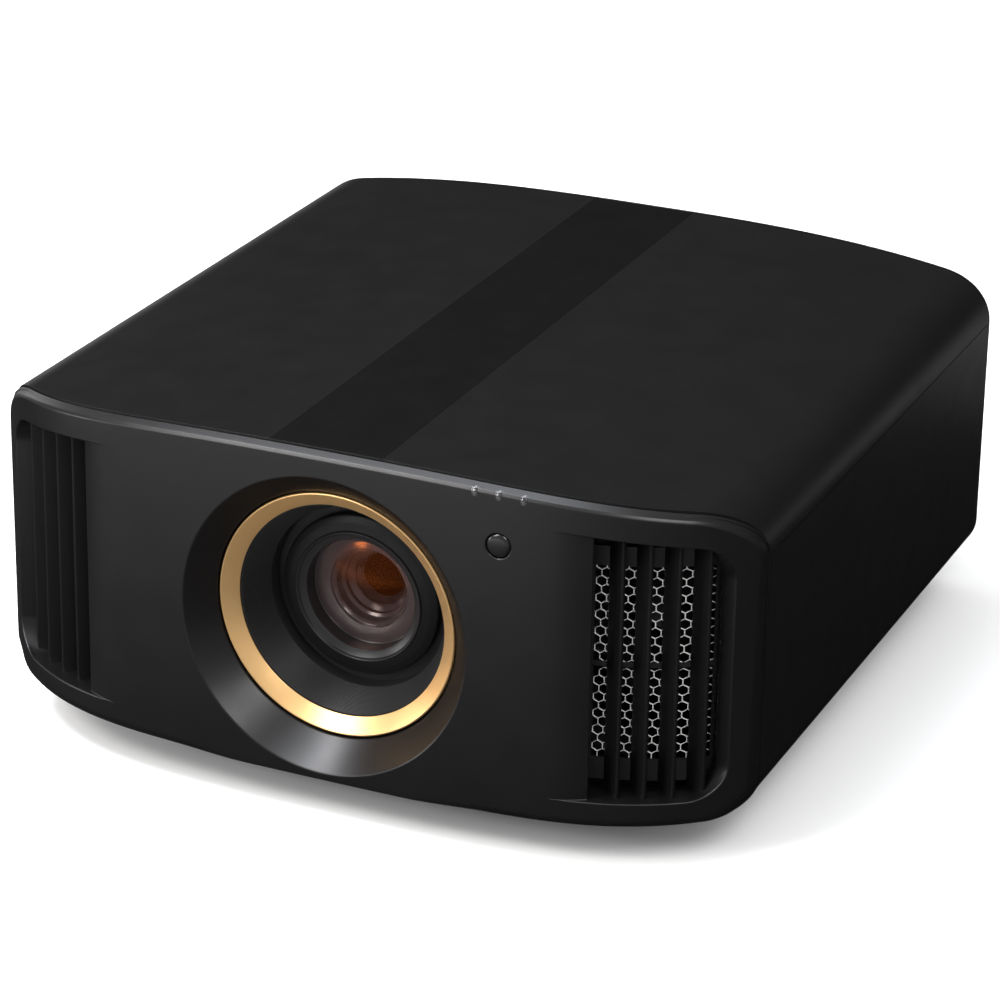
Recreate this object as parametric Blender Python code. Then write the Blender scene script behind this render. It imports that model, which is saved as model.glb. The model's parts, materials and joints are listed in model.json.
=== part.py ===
"""Home projector: a bowed front panel, a crowned top cover with a centre strip, and a shifting lens.

Frame: +X to the right seen from the front, the front faces -Y, +Z up. The origin is at the centre of
the footprint, on the surface that the four feet stand on. Heights named *_H are above the underside.
"""

import math

import bmesh
import bpy
from mathutils import Matrix, Vector

# ---- driving dimensions, metres ----
WIDTH = 0.500
FACE_Y = -0.2349  # front face at the lens axis
REAR_Y = 0.2379  # outer face of the rear panel
UNDERSIDE = 0.024  # height of the body's underside, which the feet hold
BODY_HEIGHT = 0.2101  # underside to the crown of the top
HALF = WIDTH / 2
TAPER = 0.0052  # how much each side draws in from the front to the rear
GAP = 0.0003
MERGE = 0.00001  # points closer than this are one point

# outline of the body in front view
CROWN_DROP = 0.0184
CROWN_POWER = 2.91
CORNER_START = 0.87  # share of the half width where the top corner begins
CORNER_PULL = 0.0182
SHOULDER_H = 0.165
BELLY_RISE = 0.0024
BELLY_RADIUS = 0.022
SIDE_DRAFT = 0.002
PARTING_H = 0.1644
MID_H = BODY_HEIGHT / 2
BELLY_SHARES = (0, 0.3, 0.52, 0.68, 0.8, 0.9)
CROWN_SHARES = (0.77, 0.65, 0.52, 0.36)

# bow and lean of the front face
BOW = 0.0641
BOW_POWER = 4.59
LEAN = 0.0435
LEAN_H = 0.100
PANEL_DEPTH = 0.0120  # face to the gap in front of the covers
PANEL_WALL = 0.0030
BEVEL = 0.0055
COVER_WALL = 0.0025
CASE_WALL = 0.0030
STRIP_HALF = 0.0366
STRIP_THICK = 0.0015

# lens, in radii and depths behind FACE_Y
LENS_H = 0.1002
DISH_RADIUS, DISH_FLOOR, DISH_DEPTH = 0.0931, 0.0790, 0.0180
TRIM_BORE = 0.0780
TRIM_RADIUS, TRIM_EYE = 0.0777, 0.0678
SHROUD_FRONT, SHROUD_BACK = 0.0262, 0.0575
BARREL_RADIUS = 0.0450
BARREL_FRONT, BARREL_BACK = 0.0463, 0.1850
GLASS_RADIUS = 0.0333

# side vents
SCOOP_X, VENT_X, VENT_END_X = 0.1443, 0.1680, 0.2380
SCOOP_DEPTH = 0.0070
VENT_FLOOR_H = 0.0200
VENT_BORDER = 0.0200
VENT_DEPTH = 0.0215
SLANT = 0.45  # sideways run of the vent walls for each unit of depth
FIN_COUNT = 4
FIN_X, FIN_PITCH = 0.1819, 0.0146
FIN_DEPTH, FIN_ANGLE = 0.0085, math.radians(62)

DISH_SEGMENTS, LENS_SEGMENTS = 48, 40

# lights and remote sensor beside the lens
GUIDE_X = (0.0967, 0.1113, 0.1263)
GUIDE_WIDTH, GUIDE_HEIGHT = 0.0026, 0.0042
GUIDE_DEPTH, GUIDE_PROUD = 0.0080, 0.0004
SENSOR_X, SENSOR_H, SENSOR_RADIUS = 0.1112, 0.1725, 0.0075

# rear panel, each opening as (x, height above the underside) of its low and high corners
INTAKE_LOW, INTAKE_HIGH = (0.118, 0.042), (0.222, 0.158)
TERMINAL_LOW, TERMINAL_HIGH = (-0.100, 0.022), (0.062, 0.076)
INLET_LOW, INLET_HIGH = (0.0720, 0.0300), (0.1030, 0.0540)
BUTTON_RADIUS = 0.0045
BUTTONS = {
    "standby_button": (0.078, 0.150), "input_button": (0.056, 0.150),
    "menu_button": (-0.056, 0.150), "back_button": (-0.056, 0.118),
    "ok_button": (0.0, 0.134), "up_button": (0.0, 0.151), "down_button": (0.0, 0.117),
    "left_button": (-0.017, 0.134), "right_button": (0.017, 0.134),
}
GRILLE_SLOTS, GRILLE_BORDER, GRILLE_BAR = 11, 0.007, 0.004

FOOT_X, FOOT_FRONT_Y, FOOT_REAR_Y = 0.190, -0.120, 0.170
FOOT_RADIUS, FOOT_HEIGHT = 0.0190, 0.0225
STEM_RADIUS = 0.0050

# colour, roughness, metallic of each material
FINISHES = {
    "satin_black": ((0.016, 0.016, 0.018), 0.45, 0.0),
    "strip_black": ((0.010, 0.010, 0.011), 0.30, 0.0),
    "panel_black": ((0.018, 0.017, 0.018), 0.40, 0.0),
    "gold": ((0.78, 0.56, 0.28), 0.28, 1.0),
    "lens_black": ((0.012, 0.012, 0.013), 0.55, 0.0),
    "barrel_grey": ((0.040, 0.040, 0.042), 0.40, 0.5),
    "glass": ((0.30, 0.22, 0.30), 0.02, 0.0),
    "mesh_silver": ((0.75, 0.75, 0.72), 0.30, 1.0),
    "window_black": ((0.005, 0.005, 0.006), 0.05, 0.0),
    "clear_guide": ((0.80, 0.82, 0.86), 0.10, 0.0),
    "steel": ((0.45, 0.46, 0.47), 0.35, 1.0),
    "aluminium": ((0.62, 0.63, 0.64), 0.35, 1.0),
    "board_green": ((0.02, 0.12, 0.06), 0.50, 0.0),
    "rubber": ((0.02, 0.02, 0.02), 0.85, 0.0),
    "filter_grey": ((0.16, 0.16, 0.17), 0.95, 0.0),
    "button_grey": ((0.05, 0.05, 0.055), 0.40, 0.0),
}


def clear_scene():
    for old in list(bpy.data.objects):
        bpy.data.objects.remove(old, do_unlink=True)


def finish(obj, name):
    """Gives the object its own Principled material."""
    colour, roughness, metallic = FINISHES[name]
    material = bpy.data.materials.new(obj.name + "_" + name)
    material.use_nodes = True
    shader = material.node_tree.nodes["Principled BSDF"]
    shader.inputs["Base Color"].default_value = (*colour, 1)
    shader.inputs["Roughness"].default_value = roughness
    shader.inputs["Metallic"].default_value = metallic
    obj.data.materials.clear()
    obj.data.materials.append(material)


def add_object(name, points, faces, material=None):
    """A mesh object from points and faces, with its faces turned outward."""
    mesh = bpy.data.meshes.new(name)
    mesh.from_pydata([tuple(p) for p in points], [], faces)
    bm = bmesh.new()
    bm.from_mesh(mesh)
    bmesh.ops.remove_doubles(bm, verts=bm.verts, dist=1e-6)
    bmesh.ops.recalc_face_normals(bm, faces=bm.faces)
    bm.to_mesh(mesh)
    bm.free()
    obj = bpy.data.objects.new(name, mesh)
    bpy.context.scene.collection.objects.link(obj)
    if material:
        finish(obj, material)
    return obj


def combine(target, tool, operation):
    """Joins or cuts target with tool, and removes tool."""
    material = target.data.materials[0] if target.data.materials else None
    modifier = target.modifiers.new("combine", "BOOLEAN")
    modifier.solver = "EXACT"
    modifier.operation = operation
    modifier.object = tool
    graph = bpy.context.evaluated_depsgraph_get()
    mesh = bpy.data.meshes.new_from_object(target.evaluated_get(graph))
    bm = bmesh.new()
    bm.from_mesh(mesh)
    bmesh.ops.remove_doubles(bm, verts=bm.verts, dist=MERGE)
    bmesh.ops.dissolve_degenerate(bm, edges=bm.edges, dist=MERGE)
    bm.to_mesh(mesh)
    bm.free()
    target.modifiers.clear()
    target.data = mesh
    mesh.materials.clear()
    if material:
        mesh.materials.append(material)
    bpy.data.objects.remove(tool, do_unlink=True)
    return target


def cut(target, tool):
    return combine(target, tool, "DIFFERENCE")


def join(target, tool):
    return combine(target, tool, "UNION")


def smooth(obj, angle=math.radians(35)):
    obj.data.shade_smooth()
    obj.data.set_sharp_from_angle(angle=angle)
    return obj


def set_origin(obj, point):
    """Puts the object's origin at point, which is on its joint's axis, and leaves its shape where it is."""
    obj.data.transform(Matrix.Translation(-Vector(point)))
    obj.location = point
    return obj


# ---- shapes ----
def box(name, low, high, material=None):
    x, y, z = ((low[i], high[i]) for i in range(3))
    points = [(a, b, c) for a in x for b in y for c in z]
    faces = [(0, 1, 3, 2), (4, 6, 7, 5), (0, 4, 5, 1), (2, 3, 7, 6), (0, 2, 6, 4), (1, 5, 7, 3)]
    return add_object(name, points, faces, material)


def loop_faces(rings, size, closed_ends=True):
    """Quads between successive closed rings of the same size, with an n-gon over each end."""
    faces = []
    for k in range(rings - 1):
        for i in range(size):
            j = (i + 1) % size
            faces.append((k * size + i, k * size + j, (k + 1) * size + j, (k + 1) * size + i))
    if closed_ends:
        faces.append(tuple(range(size)))
        faces.append(tuple(range((rings - 1) * size, rings * size)))
    return faces


def turned(name, profile, place, axis="Y", segments=48, material=None):
    """A solid turned from a closed profile of (radius, distance along the axis) about an axis at place.

    A radius of zero lies on the axis, where the turned points meet in one."""
    points = []
    for k in range(segments):
        angle = 2 * math.pi * k / segments
        for radius, along in profile:
            a, b = radius * math.cos(angle), radius * math.sin(angle)
            offset = (a, along, b) if axis == "Y" else (a, b, along)
            points.append(Vector(place) + Vector(offset))
    count = len(profile)
    faces = []
    for k in range(segments):
        for i in range(count):
            j = (i + 1) % count
            n = (k + 1) % segments
            if profile[i][0] == 0 and profile[j][0] == 0:
                continue
            corners = [k * count + i, k * count + j]
            if profile[j][0] > 0:
                corners.append(n * count + j)
            if profile[i][0] > 0:
                corners.append(n * count + i)
            faces.append(tuple(corners))
    return smooth(add_object(name, points, faces, material))


def rod(name, place, radius, start, end, axis="Y", segments=24, material=None):
    profile = [(0, start), (radius, start), (radius, end), (0, end)]
    return turned(name, profile, place, axis, segments, material)


# ---- outline of the body in front view ----
def bow(x):
    return BOW * abs(x / HALF) ** BOW_POWER


def lean(height):
    return LEAN * (height - LEAN_H)


def crown(x):
    """Height of the top at x, before the rounded corner."""
    return BODY_HEIGHT - CROWN_DROP * abs(x / HALF) ** CROWN_POWER


def corner_points(count):
    """The top corner, from the side to the crown, on a cubic curve."""
    start = Vector((HALF, SHOULDER_H))
    end = Vector((CORNER_START * HALF, crown(CORNER_START * HALF)))
    step = 0.001
    slope = Vector((step, crown(end.x + step) - end.y)).normalized()
    a, b = start + Vector((0, CORNER_PULL)), end + slope * CORNER_PULL
    points = []
    for k in range(count + 1):
        t = k / count
        u = 1 - t
        points.append(start * u**3 + a * (3 * u * u * t) + b * (3 * u * t * t) + end * t**3)
    return points


def top_height(x):
    """Height of the outline's upper side at x, corner included."""
    x = abs(x)
    if x <= CORNER_START * HALF:
        return crown(x)
    points = corner_points(24)
    for a, b in zip(points, points[1:]):
        if b.x <= x <= a.x and a.x > b.x:
            return a.y + (b.y - a.y) * (a.x - x) / (a.x - b.x)
    return SHOULDER_H


def right_outline(corner=8, belly=7):
    """The right half of the outline, from the bottom's centre up to the top's centre, as (x, height)."""
    centre_x = HALF - SIDE_DRAFT - BELLY_RADIUS
    points = [Vector((centre_x * s, BELLY_RISE * s * s)) for s in BELLY_SHARES]
    for k in range(belly + 1):
        angle = -math.pi / 2 + math.pi / 2 * k / belly
        offset = Vector((math.cos(angle), math.sin(angle))) * BELLY_RADIUS
        points.append(Vector((centre_x, BELLY_RISE + BELLY_RADIUS)) + offset)
    points.append(Vector((HALF - SIDE_DRAFT * 0.45, 0.095)))
    points += corner_points(corner)
    for share in CROWN_SHARES:
        points.append(Vector((share * HALF, crown(share * HALF))))
    points.append(Vector((STRIP_HALF, crown(STRIP_HALF))))
    return points


def whole_outline():
    """The closed outline, counter-clockwise seen from the front."""
    right = right_outline()
    left = [Vector((-p.x, p.y)) for p in reversed(right[1:])]
    return right + left


def normals(points, closed):
    """Unit normals that point out of a counter-clockwise outline."""
    result = []
    count = len(points)
    for i in range(count):
        before = points[i - 1] if closed or i > 0 else points[i]
        after = points[(i + 1) % count] if closed or i < count - 1 else points[i]
        along = (after - before).normalized()
        result.append(Vector((along.y, -along.x)))
    return result


def side_scale(y):
    """Share of the full width at y, where the sides draw in towards the rear."""
    share = (y - FACE_Y) / (REAR_Y - FACE_Y)
    return 1 - TAPER / HALF * share


def body_point(p, y):
    return Vector((p.x * side_scale(y), y, UNDERSIDE + p.y))


def sleeve(name, outer, inner, rear_y, material):
    """A shell between two open outlines, from the bowed gap behind the front panel to rear_y."""
    shares = (0, 0.04, 0.12, 0.3, 0.6, 1)
    points = []
    for share in shares:
        ring = outer + inner[::-1]
        for p in ring:
            front = FACE_Y + PANEL_DEPTH + 2 * GAP + bow(p.x)
            points.append(body_point(p, front + (rear_y - front) * share))
    size = len(outer) + len(inner)
    faces = loop_faces(len(shares), size, closed_ends=False)
    count = len(outer)
    for k in (0, (len(shares) - 1) * size):
        for i in range(count - 1):
            faces.append((k + i, k + i + 1, k + size - 2 - i, k + size - 1 - i))
    return smooth(add_object(name, points, faces, material))


# ---- covers ----
def make_top_cover():
    """The upper cover, with a shallow channel along its centre for the strip."""
    right = [p for p in right_outline(corner=12) if p.y >= SHOULDER_H - 1e-6]
    right = [Vector((HALF, PARTING_H + 2 * GAP))] + right
    channel = crown(0) - STRIP_THICK - GAP
    right.append(Vector((STRIP_HALF, channel)))
    outer = right + [Vector((-p.x, p.y)) for p in reversed(right)]
    smooth_line = right[:-1] + [Vector((-p.x, p.y)) for p in reversed(right[:-1])]
    directions = normals(smooth_line, closed=False)
    inner = [p - n * COVER_WALL for p, n in zip(smooth_line, directions)]
    middle = len(inner) // 2
    under = channel - COVER_WALL * 0.8
    inner[middle - 1] = Vector((STRIP_HALF + COVER_WALL, under + COVER_WALL * 0.5))
    inner[middle] = Vector((-STRIP_HALF - COVER_WALL, under + COVER_WALL * 0.5))
    inner.insert(middle, Vector((STRIP_HALF, under)))
    inner.insert(middle + 1, Vector((-STRIP_HALF, under)))
    sleeve("top_cover", outer, inner, REAR_Y - PANEL_WALL - GAP, "satin_black")


def make_top_strip():
    """The smooth inlay along the centre of the top."""
    edge = STRIP_HALF - 2 * GAP
    top, under = BODY_HEIGHT - GAP, BODY_HEIGHT - STRIP_THICK
    upper = [Vector((edge, top)), Vector((-edge, top))]
    lower = [Vector((edge, under)), Vector((-edge, under))]
    sleeve("top_strip", upper, lower, REAR_Y - PANEL_WALL - GAP, "strip_black")


def make_lower_case():
    """The tub: both sides and the bottom, with a hole for each foot's stem."""
    right = [p for p in right_outline(belly=10) if p.y < PARTING_H - 0.01][1:]
    right.append(Vector((HALF - SIDE_DRAFT * 0.01, PARTING_H)))
    left = [Vector((-p.x, p.y)) for p in reversed(right)]
    outer = left + [Vector((0, 0))] + right
    inner = [p - n * CASE_WALL for p, n in zip(outer, normals(outer, closed=False))]
    case = sleeve("lower_case", outer, inner, REAR_Y - PANEL_WALL - GAP, "satin_black")
    for x, y in foot_places().values():
        hole = rod("hole", (x, y, UNDERSIDE), STEM_RADIUS + 2 * GAP, -0.01, 0.02, "Z")
        cut(case, hole)


# ---- front panel ----
def panel_rings():
    """Rings of the outer surface: (inset at top and sides, inset at the bottom, depth, share of lean)."""
    return [
        (0.0008, 0.0000, PANEL_DEPTH, 0.0),
        (0.0046, 0.0022, 0.0034, 0.6),
        (BEVEL, 0.0050, 0.0008, 1.0),
        (BEVEL + 0.0030, 0.0100, 0.0, 1.0),
    ]


def panel_point(p, n, ring, shrink=1.0):
    """A point of a ring. The bottom edge is rounder than the bevel along the top and sides."""
    top_inset, low_inset, depth, leaning = ring
    share = min(max((0.3 - n.y) / 0.6, 0), 1)
    inset = top_inset + (low_inset - top_inset) * share
    q = p - n * inset
    x = q.x * shrink
    height = MID_H + (q.y - MID_H) * shrink
    y = FACE_Y + bow(x) + depth + lean(height) * leaning
    return Vector((x, y, UNDERSIDE + height))


def panel_shell():
    """The bowed, bevelled shell before its openings are cut."""
    line = whole_outline()
    directions = normals(line, closed=True)
    size = len(line)
    points = []
    for ring in panel_rings():
        points += [panel_point(p, n, ring) for p, n in zip(line, directions)]
    face = panel_rings()[-1]
    shrinks = (0.94, 0.87, 0.78, 0.64, 0.45)
    for shrink in shrinks:
        points += [panel_point(p, n, face, shrink) for p, n in zip(line, directions)]
    outer_rings = len(panel_rings()) + len(shrinks)
    back = (face[0], face[1], PANEL_WALL, 1.0)
    lip = (PANEL_WALL + 0.0008, PANEL_WALL, PANEL_DEPTH, 0.0)
    inner = [lip, (BEVEL + 0.0015, 0.0065, 0.0045, 0.8)]
    back_shrinks = (0.92, 0.8, 0.6)
    for shrink in reversed(back_shrinks):
        points += [panel_point(p, n, back, shrink) for p, n in zip(line, directions)]
    points += [panel_point(p, n, back) for p, n in zip(line, directions)]
    for ring in reversed(inner):
        points += [panel_point(p, n, ring) for p, n in zip(line, directions)]
    rings = outer_rings + len(back_shrinks) + 1 + len(inner)
    middle_out = len(points)
    points.append(Vector((0, FACE_Y, UNDERSIDE + MID_H)))
    points.append(Vector((0, FACE_Y + PANEL_WALL, UNDERSIDE + MID_H)))
    faces = []
    for k in range(rings):
        if k == outer_rings - 1:
            continue
        after = (k + 1) % rings
        for i in range(size):
            j = (i + 1) % size
            faces.append((k * size + i, k * size + j, after * size + j, after * size + i))
    for i in range(size):
        j = (i + 1) % size
        faces.append(((outer_rings - 1) * size + i, (outer_rings - 1) * size + j, middle_out))
        faces.append((outer_rings * size + i, outer_rings * size + j, middle_out + 1))
    return add_object("front_panel", points, faces, "panel_black")


def lens_place(depth=0.0):
    return Vector((0, FACE_Y + depth, UNDERSIDE + LENS_H))


def lean_with_face(obj):
    """Shears a turned piece so that its front follows the leaning face and its back stays square."""
    for vertex in obj.data.vertices:
        depth = vertex.co.y - FACE_Y
        share = min(max(1 - depth / DISH_DEPTH, 0), 1)
        vertex.co.y += lean(vertex.co.z - UNDERSIDE) * share
    return obj


def dish_funnel():
    profile = [
        (0.0953, 0.0025), (0.0953, 0.0050), (0.0815, 0.0228), (0.0815, 0.0240),
        (0.0770, 0.0240), (0.0770, 0.0150), (0.0880, 0.0025),
    ]
    return lean_with_face(turned("funnel", profile, lens_place(), segments=DISH_SEGMENTS))


def dish_cutter():
    slope = (DISH_RADIUS - DISH_FLOOR) / DISH_DEPTH
    ahead, behind = 0.020, 0.032
    profile = [
        (0, -ahead), (DISH_RADIUS + slope * ahead, -ahead), (DISH_RADIUS, 0),
        (DISH_FLOOR, DISH_DEPTH), (DISH_FLOOR, 0.0222), (TRIM_BORE, 0.0222),
        (TRIM_BORE, behind), (0, behind),
    ]
    return lean_with_face(turned("dish", profile, lens_place(), segments=DISH_SEGMENTS))


def column_block(name, stations, material=None, slant=0.0):
    """A solid that follows the bow. Each station is (x, low height, high height, near depth, far depth).

    With a slant the far side draws in towards the lens, as the louvres do."""
    points = []
    for x, low, high, near, far in stations:
        for height, depth in ((low, near), (high, near), (high, far), (low, far)):
            draw = slant * max(depth - SCOOP_DEPTH, 0)
            place = x - math.copysign(draw, x)
            points.append((place, FACE_Y + bow(place) + depth + lean(height), UNDERSIDE + height))
    return add_object(name, points, loop_faces(len(stations), 4), material)


def vent_range(x, grow=0.0):
    """Floor and ceiling of the vent at x, with rounded outer corners."""
    end = VENT_END_X + grow
    low_radius, top_radius = 0.020 + grow, 0.014 + grow
    low, high = VENT_FLOOR_H - grow, top_height(min(x, VENT_END_X)) - VENT_BORDER + grow
    over = x - (end - low_radius)
    if over > 0:
        low += low_radius - math.sqrt(max(low_radius**2 - over**2, 0))
    over = x - (end - top_radius)
    if over > 0:
        high -= top_radius - math.sqrt(max(top_radius**2 - over**2, 0))
    return low, high


def scoop_depth(x):
    """How far the scooped face has curved in at x. It starts ahead of the face, to cross it cleanly."""
    lead = 0.0012
    share = min(max((x - SCOOP_X) / (VENT_X - SCOOP_X), 0), 1)
    return SCOOP_DEPTH * share**2 - lead * (1 - share)


def vent_cutters(side):
    """The scooped pocket in the face, and the open vent behind it that goes right through."""
    ahead, behind, overlap = -0.02, 0.040, 0.0005
    shares = (0.3, 0.6, 0.74, 0.84, 0.91, 0.96, 0.985, 1.0)
    across = [VENT_X + (VENT_END_X - VENT_X) * share for share in shares]
    scooped = [SCOOP_X + (VENT_X - SCOOP_X) * k / 6 for k in range(7)]
    pocket = [(side * x, *vent_range(x), ahead, scoop_depth(x)) for x in scooped + across]
    near = SCOOP_DEPTH - overlap
    step = 0.0002
    through = [(side * x, *vent_range(x, step), near, behind) for x in [VENT_X] + across]
    return column_block("pocket", pocket), column_block("vent", through, slant=SLANT)


def vent_duct(side):
    """The wall around the vent, which carries its floor and ceiling inward."""
    wall = 0.0025
    stations = []
    start, end = VENT_X - wall, VENT_END_X + wall
    for share in (0, 0.3, 0.6, 0.8, 0.9, 0.96, 0.99):
        x = start + (end - start) * share
        stations.append((x, *vent_range(x, wall), 0.0021, VENT_DEPTH))
    return column_block("duct", [(side * s[0], *s[1:]) for s in stations], slant=SLANT)


def guide_box(name, x, grow=0.0, near=-GUIDE_PROUD, depth=GUIDE_DEPTH, material=None):
    """A small upright prism across the bevel's lower edge."""
    top = crown(x) - 0.0038
    face = FACE_Y + bow(x) + lean(top)
    low = (x - GUIDE_WIDTH / 2 - grow, face + near, UNDERSIDE + top - GUIDE_HEIGHT - grow)
    high = (x + GUIDE_WIDTH / 2 + grow, face + near + depth, UNDERSIDE + top + grow)
    return box(name, low, high, material)


def make_front_panel():
    panel = panel_shell()
    for x in GUIDE_X:
        cut(panel, guide_box("slot", x, grow=GAP, near=-0.006, depth=0.020))
    sensor = (SENSOR_X, FACE_Y, UNDERSIDE + SENSOR_H)
    cut(panel, rod("hole", sensor, SENSOR_RADIUS + GAP, -0.01, 0.02))
    join(panel, dish_funnel())
    for side in (-1, 1):
        join(panel, vent_duct(side))
    cut(panel, dish_cutter())
    for side in (-1, 1):
        for cutter in vent_cutters(side):
            cut(panel, cutter)
    smooth(panel)


def make_panel_details():
    for number, x in enumerate(GUIDE_X, 1):
        guide_box(f"light_guide_{number}", x, material="clear_guide")
    place = (SENSOR_X, FACE_Y + bow(SENSOR_X) + lean(SENSOR_H), UNDERSIDE + SENSOR_H)
    profile = [(0, -0.0008), (0.0052, -0.0005), (SENSOR_RADIUS, 0.0004)]
    profile += [(SENSOR_RADIUS, 0.0060), (0, 0.0060)]
    turned("sensor_window_front", profile, place, segments=32, material="window_black")


# ---- side vents ----
def blade_length(x, depth):
    """Length of a slanted blade whose nose is at x and whose tail ends at depth."""
    length = 0.0
    reached = FIN_DEPTH
    while reached < depth:
        length += 0.0002
        tail_x = x - length * math.sin(FIN_ANGLE)
        reached = FIN_DEPTH + bow(x) - bow(tail_x) + length * math.cos(FIN_ANGLE)
    return length


def make_louvres(side, name):
    """Upright blades between two rails. They turn the air outward, away from the lens."""
    rail_near, rail_far = VENT_DEPTH + 0.0008, VENT_DEPTH + 0.0028
    first, last = VENT_X - 0.008, 0.230
    xs = [first + (last - first) * k / 6 for k in range(7)]
    pieces = []
    for which in (0, 1):
        stations = []
        for x in xs:
            edge = vent_range(x)[which]
            low, high = (edge - 0.006, edge + 0.012) if which == 0 else (edge - 0.014, edge + 0.006)
            stations.append((side * x, low, high, rail_near, rail_far))
        pieces.append(column_block("rail", stations))
    blades = []
    for k in range(FIN_COUNT):
        x = FIN_X + FIN_PITCH * k
        nose = Vector((x, FACE_Y + bow(x) + FIN_DEPTH))
        back = Vector((-math.sin(FIN_ANGLE), math.cos(FIN_ANGLE)))
        across = Vector((math.cos(FIN_ANGLE), math.sin(FIN_ANGLE)))
        tail = nose + back * blade_length(x, rail_near + 0.0012)
        plan = [nose, nose + across * 0.0013 + back * 0.0012, tail + across * 0.0008]
        plan += [tail - across * 0.0008, nose - across * 0.0013 + back * 0.0012]
        low, high = vent_range(x + 0.009)
        heights = (low + 0.0010, high - 0.0020)
        points = [(side * p.x, p.y + lean(h), UNDERSIDE + h) for h in heights for p in plan]
        blades.append(add_object("blade", points, loop_faces(2, len(plan))))
    louvre = pieces[0]
    louvre.name = name
    finish(louvre, "panel_black")
    for blade in blades:
        join(louvre, blade)
    join(louvre, pieces[1])
    smooth(louvre)


def make_vent_screen(side, name):
    """The screen behind the louvres, in a frame with one bar across its middle."""
    near, far = VENT_DEPTH + 0.0034, VENT_DEPTH + 0.0046
    first, last = VENT_X - 0.008, 0.234
    xs = [first + (last - first) * k / 8 for k in range(9)]
    low, high = 0.026, 0.168
    stations = [(side * x, low, high, near, far) for x in xs]
    screen = column_block(name, stations, "mesh_silver")
    columns = ((0.1655, 0.1855), (0.1885, 0.2085), (0.2115, 0.2300))
    for start, end in columns:
        for bottom, top in ((0.036, 0.0945), (0.0975, 0.160)):
            window = []
            for x in (start, (start + end) / 2, end):
                window.append((side * x, bottom, top, near - 0.01, far + 0.01))
            cut(screen, column_block("window", window))


# ---- lens ----
def make_lens():
    place = lens_place()
    trim = [(TRIM_EYE, 0.0251), (0.0764, 0.0182), (0.0770, 0.0180), (TRIM_RADIUS, 0.0188)]
    trim += [(TRIM_RADIUS, 0.0257), (TRIM_EYE, 0.0257)]
    turned("lens_trim_ring", trim, place, segments=DISH_SEGMENTS, material="gold")
    shroud = [
        (0.0672, SHROUD_FRONT), (0.0577, 0.0479), (0.0577, 0.0560), (0.0455, 0.0560),
        (0.0455, SHROUD_BACK), (0.0592, SHROUD_BACK), (0.0592, 0.0485), (0.0688, 0.0277),
        (0.0850, 0.0277), (0.0850, SHROUD_FRONT),
    ]
    turned("lens_shroud", shroud, place, segments=LENS_SEGMENTS, material="lens_black")
    barrel = [
        (0.0405, 0.0470), (0.0417, BARREL_FRONT), (0.0425, 0.0466), (0.0515, 0.0500),
        (0.0515, 0.0545), (BARREL_RADIUS, 0.0553), (BARREL_RADIUS, BARREL_BACK),
        (0.0300, BARREL_BACK), (0.0300, 0.0718), (0.0336, 0.0712), (0.0336, 0.0600), (0.0350, 0.0590),
    ]
    turned("lens_barrel", barrel, place, segments=LENS_SEGMENTS, material="barrel_grey")
    front = [(0, 0.0572), (0.0120, 0.0577), (0.0230, 0.0594), (GLASS_RADIUS, 0.0622)]
    front += [(GLASS_RADIUS, 0.0705), (0.0200, 0.0680), (0, 0.0665)]
    turned("front_element", front, place, segments=32, material="glass")


def ribbed_ring(name, start, end, material):
    """A drive ring around the barrel, with a coarse ribbed rim for its motor's gear."""
    ribs = 24
    points = []
    outline = []
    for k in range(ribs * 2):
        outline.append(0.0560 if k % 2 else 0.0545)
    for depth in (start, end):
        for k, radius in enumerate(outline):
            angle = math.pi * k / ribs
            offset = Vector((radius * math.cos(angle), 0, radius * math.sin(angle)))
            points.append(lens_place(depth) + offset)
    ring = add_object(name, points, loop_faces(2, len(outline)), material)
    bore = BARREL_RADIUS + GAP
    cut(ring, rod("bore", lens_place(), bore, start - 0.01, end + 0.01, segments=LENS_SEGMENTS))
    return set_origin(ring, lens_place((start + end) / 2))


def make_lens_drive():
    """The lens shift carriage: a frame that rises and falls, and on it a plate that slides sideways."""
    centre = lens_place()
    for name, y, half_width, half_height, thick, bore in (
        ("shift_frame", -0.150, 0.085, 0.078, 0.007, 0.0530),
        ("shift_plate", -0.1395, 0.076, 0.066, 0.006, BARREL_RADIUS + GAP),
    ):
        low = (-half_width, y, centre.z - half_height)
        high = (half_width, y + thick, centre.z + half_height)
        plate = box(name, low, high, "steel")
        cut(plate, rod("bore", (0, y, centre.z), bore, -0.01, 0.02, segments=LENS_SEGMENTS))
        set_origin(plate, (0, y, centre.z))
    ribbed_ring("focus_ring", 0.1070, 0.1230, "aluminium")
    ribbed_ring("zoom_ring", 0.1330, 0.1490, "aluminium")


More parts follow.
